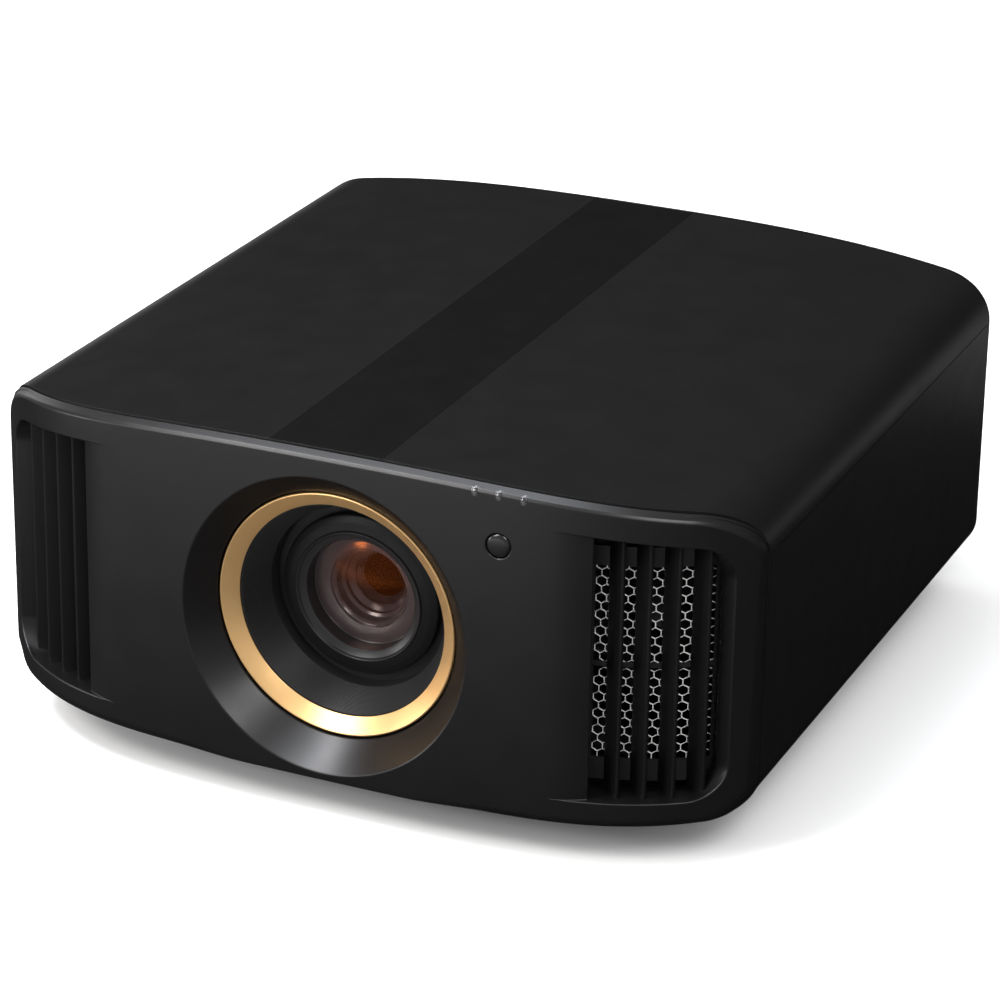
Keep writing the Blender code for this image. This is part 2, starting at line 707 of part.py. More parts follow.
# ---- inside ----
def make_fan(name, centre, size, thick, blades=7):
    """A square fan frame along Y, with the rotor that turns in it."""
    x, y, z = centre
    half = size / 2
    low, high = (x - half, y, z - half), (x + half, y + thick, z + half)
    frame = box(name + "_frame", low, high, "lens_black")
    ring = half - 0.003
    cut(frame, rod("bore", (x, y, z), ring, -0.01, thick - 0.004, segments=28))
    cut(frame, rod("rear_bore", (x, y, z), ring - 0.001, thick - 0.005, thick + 0.01, segments=28))
    hub = half * 0.36
    reach = ring + 0.0015
    back = y + thick - 0.0006
    join(frame, box("arm", (x - reach, back - 0.0022, z - 0.003), (x + reach, back, z + 0.003)))
    join(frame, rod("seat", (x, y, z), hub, thick - 0.0031, thick - 0.0003, segments=16))
    rotor = rod(name + "_rotor", (x, y, z), hub, 0.002, thick - 0.0045, "Y", 14, "lens_black")
    tip = ring - 0.0015
    pitch = math.radians(38)
    for k in range(blades):
        turn = Matrix.Rotation(2 * math.pi * k / blades, 4, "Y")
        twist = Matrix.Rotation(pitch, 4, "X")
        blade = box("blade", (hub - 0.003, -0.0009, -0.0115), (tip - 0.002, 0.0009, 0.0115))
        blade.data.transform(Matrix.Translation((x, y + thick / 2 - 0.001, z)) @ turn @ twist)
        join(rotor, blade)
    set_origin(rotor, (x, y + thick / 2, z))


def make_modules():
    """The closed modules inside: optical block, light source, heat sink, power supply and main board."""
    block_low, block_high = (-0.090, -0.045, UNDERSIDE + 0.012), (0.090, 0.080, UNDERSIDE + 0.160)
    block = box("optical_block", block_low, block_high, "aluminium")
    cut(block, rod("light_port", lens_place(), 0.024, 0.185, 0.245))
    source_low, source_high = (0.098, -0.085, UNDERSIDE + 0.040), (0.160, 0.110, UNDERSIDE + 0.130)
    box("light_source", source_low, source_high, "aluminium")
    sink_low, sink_high = (-0.160, -0.085, UNDERSIDE + 0.030), (-0.100, 0.050, UNDERSIDE + 0.140)
    sink = box("heat_sink", sink_low, sink_high, "aluminium")
    fin_pitch, fin_gap = 0.008, 0.005
    for k in range(6):
        x = -0.154 + fin_pitch * k
        slot_high = (x + fin_gap, 0.060, UNDERSIDE + 0.150)
        cut(sink, box("slot", (x, -0.100, UNDERSIDE + 0.045), slot_high))
    supply_low, supply_high = (-0.155, 0.085, UNDERSIDE + 0.020), (-0.100, 0.195, UNDERSIDE + 0.080)
    box("power_supply", supply_low, supply_high, "steel")
    board_low, board_high = (-0.090, -0.030, UNDERSIDE + 0.176), (0.090, 0.190, UNDERSIDE + 0.178)
    box("main_board", board_low, board_high, "board_green")


def make_inside():
    """The chassis tray with its two side walls, the modules on it and the three fans."""
    floor = UNDERSIDE + 0.006
    half, wall = 0.165, 0.003
    chassis = box("chassis", (-half, -0.140, floor), (half, 0.205, floor + wall), "steel")
    for x in (-half, half - wall):
        join(chassis, box("wall", (x, 0.060, floor), (x + wall, 0.205, floor + 0.040)))
    make_modules()
    fan_height = UNDERSIDE + 0.098
    for side, name in ((-1, "exhaust_fan_left"), (1, "exhaust_fan_right")):
        make_fan(name, (side * 0.194, -0.148, fan_height), 0.086, 0.025)
    make_fan("intake_fan", (0.0, 0.120, UNDERSIDE + 0.105), 0.092, 0.025)


# ---- rear ----
def rear_window(target, low, high, grow=0.0):
    lower = (low[0] - grow, REAR_Y - 0.02, UNDERSIDE + low[1] - grow)
    upper = (high[0] + grow, REAR_Y + 0.01, UNDERSIDE + high[1] + grow)
    cut(target, box("window", lower, upper))


def make_rear_panel():
    line = whole_outline()
    directions = normals(line, closed=True)
    points = []
    for inset, y in ((0, REAR_Y - PANEL_WALL), (0, REAR_Y - 0.0014), (0.0014, REAR_Y)):
        points += [body_point(p - n * inset, y) for p, n in zip(line, directions)]
    panel = add_object("rear_panel", points, loop_faces(3, len(line)), "panel_black")
    for side in (-1, 1):
        low = (min(side * INTAKE_LOW[0], side * INTAKE_HIGH[0]), INTAKE_LOW[1])
        high = (max(side * INTAKE_LOW[0], side * INTAKE_HIGH[0]), INTAKE_HIGH[1])
        rear_window(panel, low, high)
    rear_window(panel, TERMINAL_LOW, TERMINAL_HIGH)
    rear_window(panel, INLET_LOW, INLET_HIGH)
    for x, height in BUTTONS.values():
        place = (x, REAR_Y, UNDERSIDE + height)
        cut(panel, rod("hole", place, BUTTON_RADIUS + GAP, -0.01, 0.01, segments=16))
    smooth(panel)


def make_buttons():
    for name, (x, height) in BUTTONS.items():
        place = (x, REAR_Y, UNDERSIDE + height)
        profile = [(0, 0.00085), (BUTTON_RADIUS - 0.0006, 0.00085), (BUTTON_RADIUS, 0.0003)]
        profile += [(BUTTON_RADIUS, -0.0045), (0, -0.0045)]
        button = turned(name, profile, place, segments=16, material="button_grey")
        set_origin(button, place)


def make_intake(side, name):
    """A slotted cover that pulls straight off, and the foam filter that comes out with it."""
    edge = GAP * 2
    low_x, high_x = sorted((side * INTAKE_LOW[0], side * INTAKE_HIGH[0]))
    low = Vector((low_x + edge, REAR_Y - 0.0045, UNDERSIDE + INTAKE_LOW[1] + edge))
    high = Vector((high_x - edge, REAR_Y - 0.0002, UNDERSIDE + INTAKE_HIGH[1] - edge))
    grille = box("intake_cover_" + name, low, high, "panel_black")
    pitch = (high.z - low.z - 2 * GRILLE_BORDER + GRILLE_BAR) / GRILLE_SLOTS
    for k in range(GRILLE_SLOTS):
        bottom = low.z + GRILLE_BORDER + pitch * k
        slot_low = (low.x + GRILLE_BORDER, low.y - 0.01, bottom)
        slot_high = (high.x - GRILLE_BORDER, high.y + 0.01, bottom + pitch - GRILLE_BAR)
        cut(grille, box("slot", slot_low, slot_high))
    foam_low = (low.x + 0.001, REAR_Y - 0.0130, low.z + 0.001)
    foam_high = (high.x - 0.001, REAR_Y - 0.0050, high.z - 0.001)
    box("air_filter_" + name, foam_low, foam_high, "filter_grey")


def socket(name, x, height, outer, inner, depth, material):
    """A rectangular socket shell, open to the rear. outer and inner are (width, height)."""
    front, mouth = REAR_Y - 0.0200, REAR_Y - 0.0012
    z = UNDERSIDE + height
    low = (x - outer[0] / 2, front, z - outer[1] / 2)
    shell = box(name, low, (x + outer[0] / 2, mouth, z + outer[1] / 2), material)
    low = (x - inner[0] / 2, mouth - depth, z - inner[1] / 2)
    return cut(shell, box("hollow", low, (x + inner[0] / 2, mouth + 0.01, z + inner[1] / 2)))


def make_terminals():
    plate_low = (TERMINAL_LOW[0] - 0.004, REAR_Y - 0.0055, UNDERSIDE + TERMINAL_LOW[1] - 0.004)
    plate_high = (TERMINAL_HIGH[0] + 0.004, REAR_Y - 0.0035, UNDERSIDE + TERMINAL_HIGH[1] + 0.004)
    plate = box("terminal_plate", plate_low, plate_high, "steel")
    sockets = {
        "hdmi_socket_1": (-0.084, 0.050, (0.0170, 0.0078), (0.0146, 0.0054), 0.012),
        "hdmi_socket_2": (-0.058, 0.050, (0.0170, 0.0078), (0.0146, 0.0054), 0.012),
        "network_socket": (-0.031, 0.050, (0.0160, 0.0140), (0.0120, 0.0085), 0.013),
    }
    for name, (x, height, outer, inner, depth) in sockets.items():
        low = (x - outer[0] / 2, height - outer[1] / 2)
        high = (x + outer[0] / 2, height + outer[1] / 2)
        rear_window(plate, low, high, GAP)
        socket(name, x, height, outer, inner, depth, "steel")
    serial_low, serial_high = (-0.013, 0.0440), (0.018, 0.0560)
    rear_window(plate, serial_low, serial_high, GAP)
    low = (serial_low[0], REAR_Y - 0.0140, UNDERSIDE + serial_low[1])
    serial = box("serial_socket", low, (serial_high[0], REAR_Y - 0.0030, UNDERSIDE + serial_high[1]), "steel")
    shell_low = (-0.0060, REAR_Y - 0.0032, UNDERSIDE + 0.0458)
    join(serial, box("shell", shell_low, (0.0110, REAR_Y - 0.0008, UNDERSIDE + 0.0542)))


def make_power_inlet():
    """The mains inlet: a deep socket with three flat pins."""
    edge = GAP
    x, height = (INLET_LOW[0] + INLET_HIGH[0]) / 2, (INLET_LOW[1] + INLET_HIGH[1]) / 2
    width, tall = INLET_HIGH[0] - INLET_LOW[0] - 2 * edge, INLET_HIGH[1] - INLET_LOW[1] - 2 * edge
    inlet = socket("power_inlet", x, height, (width, tall), (0.0245, 0.0168), 0.015, "lens_black")
    finish(inlet, "lens_black")
    for dx, dz in ((-0.007, -0.002), (0.0, 0.003), (0.007, -0.002)):
        low = (x + dx - 0.001, REAR_Y - 0.0165, UNDERSIDE + height + dz - 0.002)
        join(inlet, box("pin", low, (x + dx + 0.001, REAR_Y - 0.0070, UNDERSIDE + height + dz + 0.002)))


# ---- feet ----
def foot_places():
    return {
        "front_left": (-FOOT_X, FOOT_FRONT_Y), "front_right": (FOOT_X, FOOT_FRONT_Y),
        "rear_left": (-FOOT_X, FOOT_REAR_Y), "rear_right": (FOOT_X, FOOT_REAR_Y),
    }


def make_foot(name, x, y):
    """A round foot that is turned by hand, on a threaded stem that lifts the body."""
    stem = rod("foot_stem_" + name, (x, y, 0), STEM_RADIUS, 0.0050, 0.0440, "Z", 20, "steel")
    set_origin(stem, (x, y, 0))
    ribs = 12
    pad_points = []
    levels = ((0.0, 0.0015), (0.0015, 0.0), (FOOT_HEIGHT - 0.0010, 0.0), (FOOT_HEIGHT, 0.0010))
    for height, inset in levels:
        for k in range(ribs * 2):
            radius = FOOT_RADIUS - inset - (0.0008 if k % 2 else 0)
            angle = math.pi * k / ribs
            pad_points.append((x + radius * math.cos(angle), y + radius * math.sin(angle), height))
    pad = add_object("foot_" + name, pad_points, loop_faces(len(levels), ribs * 2), "rubber")
    cut(pad, rod("bore", (x, y, 0), STEM_RADIUS + GAP, 0.0046, 0.03, "Z", 20))
    set_origin(smooth(pad), (x, y, 0))


def main():
    clear_scene()
    make_top_cover()
    make_top_strip()
    make_lower_case()
    make_front_panel()
    make_panel_details()
    for side, name in ((-1, "left"), (1, "right")):
        make_louvres(side, "louvres_" + name)
        make_vent_screen(side, "vent_screen_" + name)
        make_intake(side, name)
    make_lens()
    make_lens_drive()
    make_inside()
    make_rear_panel()
    make_buttons()
    make_terminals()
    make_power_inlet()
    for name, (x, y) in foot_places().items():
        make_foot(name, x, y)


main()
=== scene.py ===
import json
import math

import bmesh
import bpy
import numpy as np
from mathutils import Matrix, Vector
from mathutils.geometry import delaunay_2d_cdt


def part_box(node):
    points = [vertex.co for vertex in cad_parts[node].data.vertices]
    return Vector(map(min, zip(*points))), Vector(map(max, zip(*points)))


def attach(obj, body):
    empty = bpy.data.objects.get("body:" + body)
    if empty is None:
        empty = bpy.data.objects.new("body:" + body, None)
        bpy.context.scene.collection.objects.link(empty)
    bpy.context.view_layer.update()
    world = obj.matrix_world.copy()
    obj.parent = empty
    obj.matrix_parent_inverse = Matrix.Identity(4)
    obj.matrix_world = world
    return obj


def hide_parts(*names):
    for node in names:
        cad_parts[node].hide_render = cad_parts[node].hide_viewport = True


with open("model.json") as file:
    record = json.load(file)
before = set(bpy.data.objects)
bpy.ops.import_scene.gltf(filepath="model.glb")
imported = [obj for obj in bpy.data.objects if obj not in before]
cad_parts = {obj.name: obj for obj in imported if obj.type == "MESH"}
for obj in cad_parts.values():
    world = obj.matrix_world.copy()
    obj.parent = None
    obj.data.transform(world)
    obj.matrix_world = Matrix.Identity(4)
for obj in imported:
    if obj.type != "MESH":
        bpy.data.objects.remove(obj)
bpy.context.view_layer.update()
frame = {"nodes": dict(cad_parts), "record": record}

# ---- measures, in metres; heights named *_H are above the underside ----
EDGE = 0.0008
panel_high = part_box("front_panel")[1]
trim_low, trim_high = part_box("lens_trim_ring")
HALF = panel_high.x + EDGE
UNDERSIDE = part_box("lower_case")[0].z
BODY_HEIGHT = panel_high.z + EDGE - UNDERSIDE
FACE_Y = trim_low.y - 0.0180
REAR_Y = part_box("rear_panel")[1].y
LENS_H = (trim_low.z + trim_high.z) / 2 - UNDERSIDE
TAPER = 0.0052
GAP = 0.0003

CROWN_DROP, CROWN_POWER = 0.0184, 2.91
CORNER_START, CORNER_PULL, SHOULDER_H = 0.87, 0.0182, 0.165
BELLY_RISE, BELLY_RADIUS, SIDE_DRAFT = 0.0024, 0.022, 0.002
PARTING_H = 0.1644
BOW, BOW_POWER = 0.0641, 4.59
LEAN, LEAN_H = 0.0435, 0.100
CASE_FRONT, PANEL_WALL = 0.0109, 0.0030
COVER_WALL, CASE_WALL = 0.0025, 0.0030
STRIP_HALF, STRIP_THICK = 0.0366, 0.0015
DISH_RADIUS, DISH_FLOOR, DISH_DEPTH = 0.0931, 0.0790, 0.0180
SCOOP_X, VENT_X, VENT_END_X = 0.1443, 0.1662, 0.2380
SCOOP_DEPTH, VENT_FLOOR_H, VENT_BORDER, VENT_DEPTH = 0.0042, 0.0200, 0.0200, 0.0215
VENT_LOW_RADIUS, VENT_TOP_RADIUS = 0.0200, 0.0140
INNER_SLANT, OUTER_SLANT, OUTER_BEND, DEEP_SLANT = 0.45, 0.74, 0.0135, 0.38
FIN_COUNT, FIN_X, FIN_PITCH, FIN_DEPTH, FIN_REACH = 4, 0.1811, 0.0146, 0.0085, 0.0130
GUIDE_X = (0.0973, 0.1120, 0.1270)
SENSOR_X, SENSOR_H, SENSOR_RADIUS = 0.1122, 0.1725, 0.0072
LENS_HOLE, KNURL = 0.0780, 0.00045
DISH_SEGMENTS, VENT_STEPS, PANEL_SHARP = 224, 30, 28  # the last in degrees


def smooth(t):
    t = min(max(t, 0), 1)
    return t * t * (3 - 2 * t)


def bow(x):
    return BOW * abs(x / HALF) ** BOW_POWER


def lean(height):
    return LEAN * (height - LEAN_H)


def face_y(x, height):
    return FACE_Y + bow(x) + lean(height)


def crown(x):
    return BODY_HEIGHT - CROWN_DROP * abs(x / HALF) ** CROWN_POWER


def corner_points(count):
    """The top corner, from the side to the crown, on a cubic curve."""
    start = Vector((HALF, SHOULDER_H))
    end = Vector((CORNER_START * HALF, crown(CORNER_START * HALF)))
    slope = Vector((0.001, crown(end.x + 0.001) - end.y)).normalized()
    a, b = start + Vector((0, CORNER_PULL)), end + slope * CORNER_PULL
    points = []
    for k in range(count + 1):
        t = k / count
        u = 1 - t
        points.append(start * u**3 + a * (3 * u * u * t) + b * (3 * u * t * t) + end * t**3)
    return points


FINE_CORNER = corner_points(60)


def top_height(x):
    x = abs(x)
    if x <= CORNER_START * HALF:
        return crown(x)
    for a, b in zip(FINE_CORNER, FINE_CORNER[1:]):
        if b.x <= x <= a.x and a.x > b.x:
            return a.y + (b.y - a.y) * (a.x - x) / (a.x - b.x)
    return SHOULDER_H


def right_outline():
    """The right half of the body's outline in front view, from the bottom's centre up to the top's."""
    bottom, belly, side, corner, top = 34, 16, 9, 26, 30  # steps along each stretch
    centre_x = HALF - SIDE_DRAFT - BELLY_RADIUS
    points = [Vector((centre_x * k / bottom, BELLY_RISE * (k / bottom) ** 2)) for k in range(bottom)]
    for k in range(belly + 1):
        angle = -math.pi / 2 + math.pi / 2 * k / belly
        offset = Vector((math.cos(angle), math.sin(angle))) * BELLY_RADIUS
        points.append(Vector((centre_x, BELLY_RISE + BELLY_RADIUS)) + offset)
    low = points[-1].copy()
    for k in range(1, side):
        share = k / side
        points.append(Vector((low.x + SIDE_DRAFT * share, low.y + (SHOULDER_H - low.y) * share)))
    points += corner_points(corner)
    for k in range(1, top + 1):
        x = CORNER_START * HALF * (1 - k / top)
        points.append(Vector((x, crown(x))))
    return points


def whole_outline():
    right = right_outline()
    return right + [Vector((-p.x, p.y)) for p in reversed(right[1:-1])]


def normals(points, closed):
    """Unit normals that point out of a counter-clockwise outline."""
    result, count = [], len(points)
    for i in range(count):
        before = points[i - 1] if closed or i > 0 else points[i]
        after = points[(i + 1) % count] if closed or i < count - 1 else points[i]
        along = (after - before).normalized()
        result.append(Vector((along.y, -along.x)))
    return result


def side_scale(y):
    return 1 - TAPER / HALF * (y - FACE_Y) / (REAR_Y - FACE_Y)


# ---- mesh helpers ----
def add_object(name, data):
    obj = bpy.data.objects.new(name, data)
    bpy.context.scene.collection.objects.link(obj)
    return obj


def smooth_object(name, bm):
    mesh = bpy.data.meshes.new(name)
    bm.to_mesh(mesh)
    bm.free()
    mesh.shade_smooth()
    return add_object(name, mesh)


def new_object(name, bm, sharp):
    bmesh.ops.recalc_face_normals(bm, faces=bm.faces)
    obj = smooth_object(name, bm)
    obj.data.set_sharp_from_angle(angle=math.radians(sharp))
    return obj


def filled_mesh(points, faces, merge):
    """A bmesh of the faces; one that closes up to a line or repeats another is left out."""
    bm = bmesh.new()
    verts = [bm.verts.new(p) for p in points]
    for f in faces:
        if len(set(f)) >= 3:
            try:
                bm.faces.new([verts[i] for i in f])
            except ValueError:
                pass
    bmesh.ops.remove_doubles(bm, verts=bm.verts, dist=merge)
    return bm


def mesh_object(name, points, faces, sharp=35):
    return new_object(name, filled_mesh(points, faces, 1e-6), sharp)


def add_bevel(obj, width, segments, angle=35):
    m = obj.modifiers.new("edges", "BEVEL")
    m.width = width
    m.segments = segments
    m.limit_method = "ANGLE"
    m.angle_limit = math.radians(angle)
    m.harden_normals = False
    m.miter_outer = "MITER_ARC"
    return m


def add_weighted(obj):
    obj.modifiers.new("normals", "WEIGHTED_NORMAL").keep_sharp = True


def weigh_edges(obj, angle, weight_of):
    """Bevel weights for the edges sharper than an angle; weight_of gives each one's share of the width."""
    bm = bmesh.new()
    bm.from_mesh(obj.data)
    layer = bm.edges.layers.float.new("bevel_weight_edge")
    for edge in bm.edges:
        if len(edge.link_faces) == 2 and edge.calc_face_angle() > math.radians(angle):
            edge[layer] = weight_of(edge.verts[0].co, edge.verts[1].co)
    bm.to_mesh(obj.data)
    bm.free()


def strip_faces(a, b, closed):
    """Quads between two index lists of the same length."""
    n = len(a)
    last = n if closed else n - 1
    return [(a[i], a[(i + 1) % n], b[(i + 1) % n], b[i]) for i in range(last)]


def skin(rows, closed=True):
    """Quads between each row of indices and the next."""
    return [face for a, b in zip(rows, rows[1:]) for face in strip_faces(a, b, closed)]


def capped(rows):
    """The faces of a closed bar whose cross-sections are the rows."""
    return skin(rows) + [tuple(rows[0]), tuple(rows[-1])]


def add_to(points, point):
    """Adds a point to the list and gives its index."""
    points.append(point)
    return len(points) - 1


def lathe(name, profile, centre, segments, sharp=30, upright=False):
    """A solid turned about Y, or about Z when upright. The profile's points are (radius, distance along
    the axis), and a third value that is true adds the knurls."""
    points, rows = [], []
    def place(a, b, along):
        return add_to(points, Vector(centre) + Vector((a, b, along) if upright else (a, along, b)))

    for radius, along, *knurled in profile:
        if radius < 1e-7:
            rows.append([place(0, 0, along)] * segments)
            continue
        row = []
        for k in range(segments):
            t = 2 * math.pi * k / segments
            reach = radius - (KNURL if any(knurled) and k % 4 < 2 else 0)
            row.append(place(reach * math.cos(t), reach * math.sin(t), along))
        rows.append(row)
    faces = [list(dict.fromkeys(q)) for q in skin(rows + rows[:1])]
    return mesh_object(name, points, [q for q in faces if len(q) >= 3], sharp)


def rounded(profile, radius, steps):
    """Rounds the corners of a profile of (radius, along) points."""
    result, n = [], len(profile)
    for i in range(n):
        p = Vector(profile[i])
        if p.x < 1e-7:
            result.append(tuple(p))
            continue
        a, b = Vector(profile[i - 1]) - p, Vector(profile[(i + 1) % n]) - p
        r = min(radius, a.length * 0.45, b.length * 0.45)
        if a.length < 1e-9 or b.length < 1e-9 or r < 1e-5:
            result.append(tuple(p))
            continue
        start, end = p + a.normalized() * r, p + b.normalized() * r
        for k in range(steps + 1):
            t = k / steps
            result.append(tuple(start * (1 - t) ** 2 + p * (2 * t * (1 - t)) + end * t * t))
    return result


def triangulate(outer, holes, spacing, clear=0.5):
    """Triangles of a flat region: (points, faces). Points on a grid of the given spacing fill it, and
    none lies nearer to an edge than the share of the spacing in clear."""
    loops = [outer] + holes
    points, edges = [], []
    for loop in loops:
        first = len(points)
        points += [Vector((p[0], p[1])) for p in loop]
        edges += [(first + i, first + (i + 1) % len(loop)) for i in range(len(loop))]
    border = np.array([tuple(p) for p in points])
    if spacing:
        low, high = border.min(0), border.max(0)
        xs = np.arange(low[0] + spacing / 2, high[0], spacing)
        hs = np.arange(low[1] + spacing / 2, high[1], spacing)
        for i, x in enumerate(xs):
            for h in hs:
                h = h + (spacing / 2 if i % 2 else 0)
                if np.min(np.hypot(border[:, 0] - x, border[:, 1] - h)) < spacing * clear:
                    continue
                if inside((x, h), outer) and not any(inside((x, h), hole) for hole in holes):
                    points.append(Vector((x, h)))
    found, _, faces, *_ = delaunay_2d_cdt(points, edges, [], 0, 1e-7)
    kept = []
    for f in faces:
        c = sum((found[i] for i in f), Vector((0, 0))) / len(f)
        if inside(c, outer) and not any(inside(c, hole) for hole in holes):
            kept.append(tuple(f))
    return found, kept


def inside(p, loop):
    x, y = p[0], p[1]
    hit = False
    for i in range(len(loop)):
        ax, ay = loop[i][0], loop[i][1]
        bx, by = loop[i - 1][0], loop[i - 1][1]
        if (ay > y) != (by > y) and x < (bx - ax) * (y - ay) / (by - ay) + ax:
            hit = not hit
    return hit


def plate(name, outer, holes, y_back, y_front, spacing, bevel):
    """A closed flat plate in the XZ plane with holes, between two depths. Its loops hold (x, z) points."""
    found, tris = triangulate(outer, holes, spacing)
    points = [Vector((p.x, y_front, p.y)) for p in found] + [Vector((p.x, y_back, p.y)) for p in found]
    n = len(found)
    faces = list(tris) + [tuple(i + n for i in reversed(f)) for f in tris]
    count = {}
    for f in tris:
        for i in range(len(f)):
            edge = tuple(sorted((f[i], f[(i + 1) % len(f)])))
            count[edge] = count.get(edge, 0) + 1
    faces += [(a, b, b + n, a + n) for (a, b), uses in count.items() if uses == 1]
    obj = mesh_object(name, points, faces)
    add_bevel(obj, bevel, 2).harden_normals = True
    return obj


def round_rect(x0, z0, x1, z1, radius, steps=5):
    points = []
    for cx, cz, start in ((x1 - radius, z0 + radius, -90), (x1 - radius, z1 - radius, 0),
                          (x0 + radius, z1 - radius, 90), (x0 + radius, z0 + radius, 180)):
        for k in range(steps + 1):
            t = math.radians(start + 90 * k / steps)
            points.append((cx + radius * math.cos(t), cz + radius * math.sin(t)))
    return points


def circle(cx, cz, radius, count):
    return [(cx + radius * math.cos(2 * math.pi * k / count), cz + radius * math.sin(2 * math.pi * k / count))
            for k in range(count)]


# ---- materials ----
def add_node(tree, kind, inputs, mode=None):
    """A shader node. inputs gives each socket a value or a socket to link from; mode is its operation."""
    node = tree.nodes.new("ShaderNode" + kind)
    if kind == "Mix":
        node.data_type = "RGBA"
    if mode:
        node.operation = mode
    return feed(tree, node, inputs)


def feed(tree, node, inputs):
    for key, value in inputs.items():
        if isinstance(value, bpy.types.NodeSocket):
            tree.links.new(value, node.inputs[key])
        else:
            node.inputs[key].default_value = value
    return node


def new_material(name):
    mat = bpy.data.materials.new(name)
    mat.use_nodes = True
    return mat, mat.node_tree


# the sockets of a colour Mix node
MIX_FACTOR, MIX_A, MIX_B, MIX_RESULT = 0, 6, 7, 2


def make_material(name, colour, roughness, metallic=0.0, *, grain, grain_scale=900.0, blotch=0.12,
                  smudge=0.06, wear=0.0, spun=False, coat=0.0, specular=0.5, brushed=None):
    """A moulded, painted or metal finish: colour drift, smudged roughness, fine grain or turning lines
    round the lens axis, and edge wear."""
    mat, tree = new_material(name)
    place = add_node(tree, "TexCoord", {}).outputs["Object"]
    drift = add_node(tree, "TexNoise", {"Scale": 9.0, "Detail": 5.0, "Vector": place}).outputs["Fac"]
    drift_range = add_node(tree, "MapRange", {"From Min": 0.3, "From Max": 0.7, "Value": drift})
    base = add_node(tree, "Mix", {
        MIX_A: (*[c * (1 - blotch) for c in colour], 1),
        MIX_B: (*[min(c * (1 + blotch), 1) for c in colour], 1),
        MIX_FACTOR: drift_range.outputs["Result"]}).outputs[MIX_RESULT]
    if wear:
        pointiness = add_node(tree, "NewGeometry", {}).outputs["Pointiness"]
        edge = add_node(tree, "MapRange", {"From Min": 0.53, "From Max": 0.62, "Value": pointiness})
        scuff = add_node(tree, "Math", {0: edge.outputs["Result"], 1: drift}, "MULTIPLY")
        base = add_node(tree, "Mix", {
            MIX_B: (*[min(c * (1 + wear) + 0.0015 * wear, 1) for c in colour], 1), MIX_A: base,
            MIX_FACTOR: scuff.outputs["Value"]}).outputs[MIX_RESULT]
    patch = add_node(tree, "TexNoise", {"Scale": 38.0, "Detail": 6.0, "Vector": place})
    rough = add_node(tree, "MapRange", {
        "From Min": 0.3, "From Max": 0.7, "To Min": max(roughness - smudge, 0.01),
        "To Max": min(roughness + smudge, 1.0), "Value": patch.outputs["Fac"]})
    if spun:
        from_axis = add_node(tree, "VectorMath", {0: place, 1: (0, 0, UNDERSIDE + LENS_H)}, "SUBTRACT")
        flat = add_node(tree, "VectorMath", {0: from_axis.outputs["Vector"], 1: (1, 0, 1)}, "MULTIPLY")
        length = add_node(tree, "VectorMath", {0: flat.outputs["Vector"]}, "LENGTH")
        relief = tree.nodes.new("ShaderNodeTexNoise")
        relief.noise_dimensions = "1D"
        feed(tree, relief, {"Detail": 3.0, "Scale": 2500.0, "W": length.outputs["Value"]})
    elif brushed:
        stretch = add_node(tree, "Mapping", {"Scale": brushed, "Vector": place})
        relief = add_node(tree, "TexNoise", {
            "Detail": 3.0, "Scale": 10.0, "Vector": stretch.outputs["Vector"]})
    else:
        relief = add_node(tree, "TexNoise", {"Scale": grain_scale, "Detail": 2.0, "Vector": place})
    bump = add_node(tree, "Bump", {"Strength": 0.35, "Distance": grain, "Height": relief.outputs["Fac"]})
    feed(tree, tree.nodes["Principled BSDF"], {
        "Metallic": metallic, "Specular IOR Level": specular, "Coat Weight": coat, "Coat Roughness": 0.08,
        "Base Color": base, "Roughness": rough.outputs["Result"], "Normal": bump.outputs["Normal"]})
    return mat


def make_glass(name, tint, coating, shine, roughness):
    """Coated glass: clear with a slight tint, and a coloured mirror that grows at grazing angles."""
    mat, tree = new_material(name)
    tree.nodes.remove(tree.nodes["Principled BSDF"])
    clear = add_node(tree, "BsdfTransparent", {"Color": (*tint, 1)})
    place = add_node(tree, "TexCoord", {}).outputs["Object"]
    haze = add_node(tree, "TexNoise", {"Scale": 30.0, "Vector": place})
    hue = add_node(tree, "Mix", {
        MIX_A: (*coating, 1), MIX_B: (*[min(c * 1.25 + 0.02, 1) for c in coating], 1),
        MIX_FACTOR: haze.outputs["Fac"]})
    mirror = add_node(tree, "BsdfGlossy", {"Roughness": roughness, "Color": hue.outputs[MIX_RESULT]})
    facing = add_node(tree, "LayerWeight", {"Blend": 0.5}).outputs["Facing"]
    grazing = add_node(tree, "Math", {0: facing, 1: 5.0}, "POWER").outputs["Value"]
    share = add_node(tree, "Math", {0: grazing, 1: 0.3, 2: shine}, "MULTIPLY_ADD").outputs["Value"]
    mix = add_node(tree, "MixShader", {0: share, 1: clear.outputs[0], 2: mirror.outputs[0]})
    feed(tree, tree.nodes["Material Output"], {"Surface": mix.outputs[0]})
    return mat


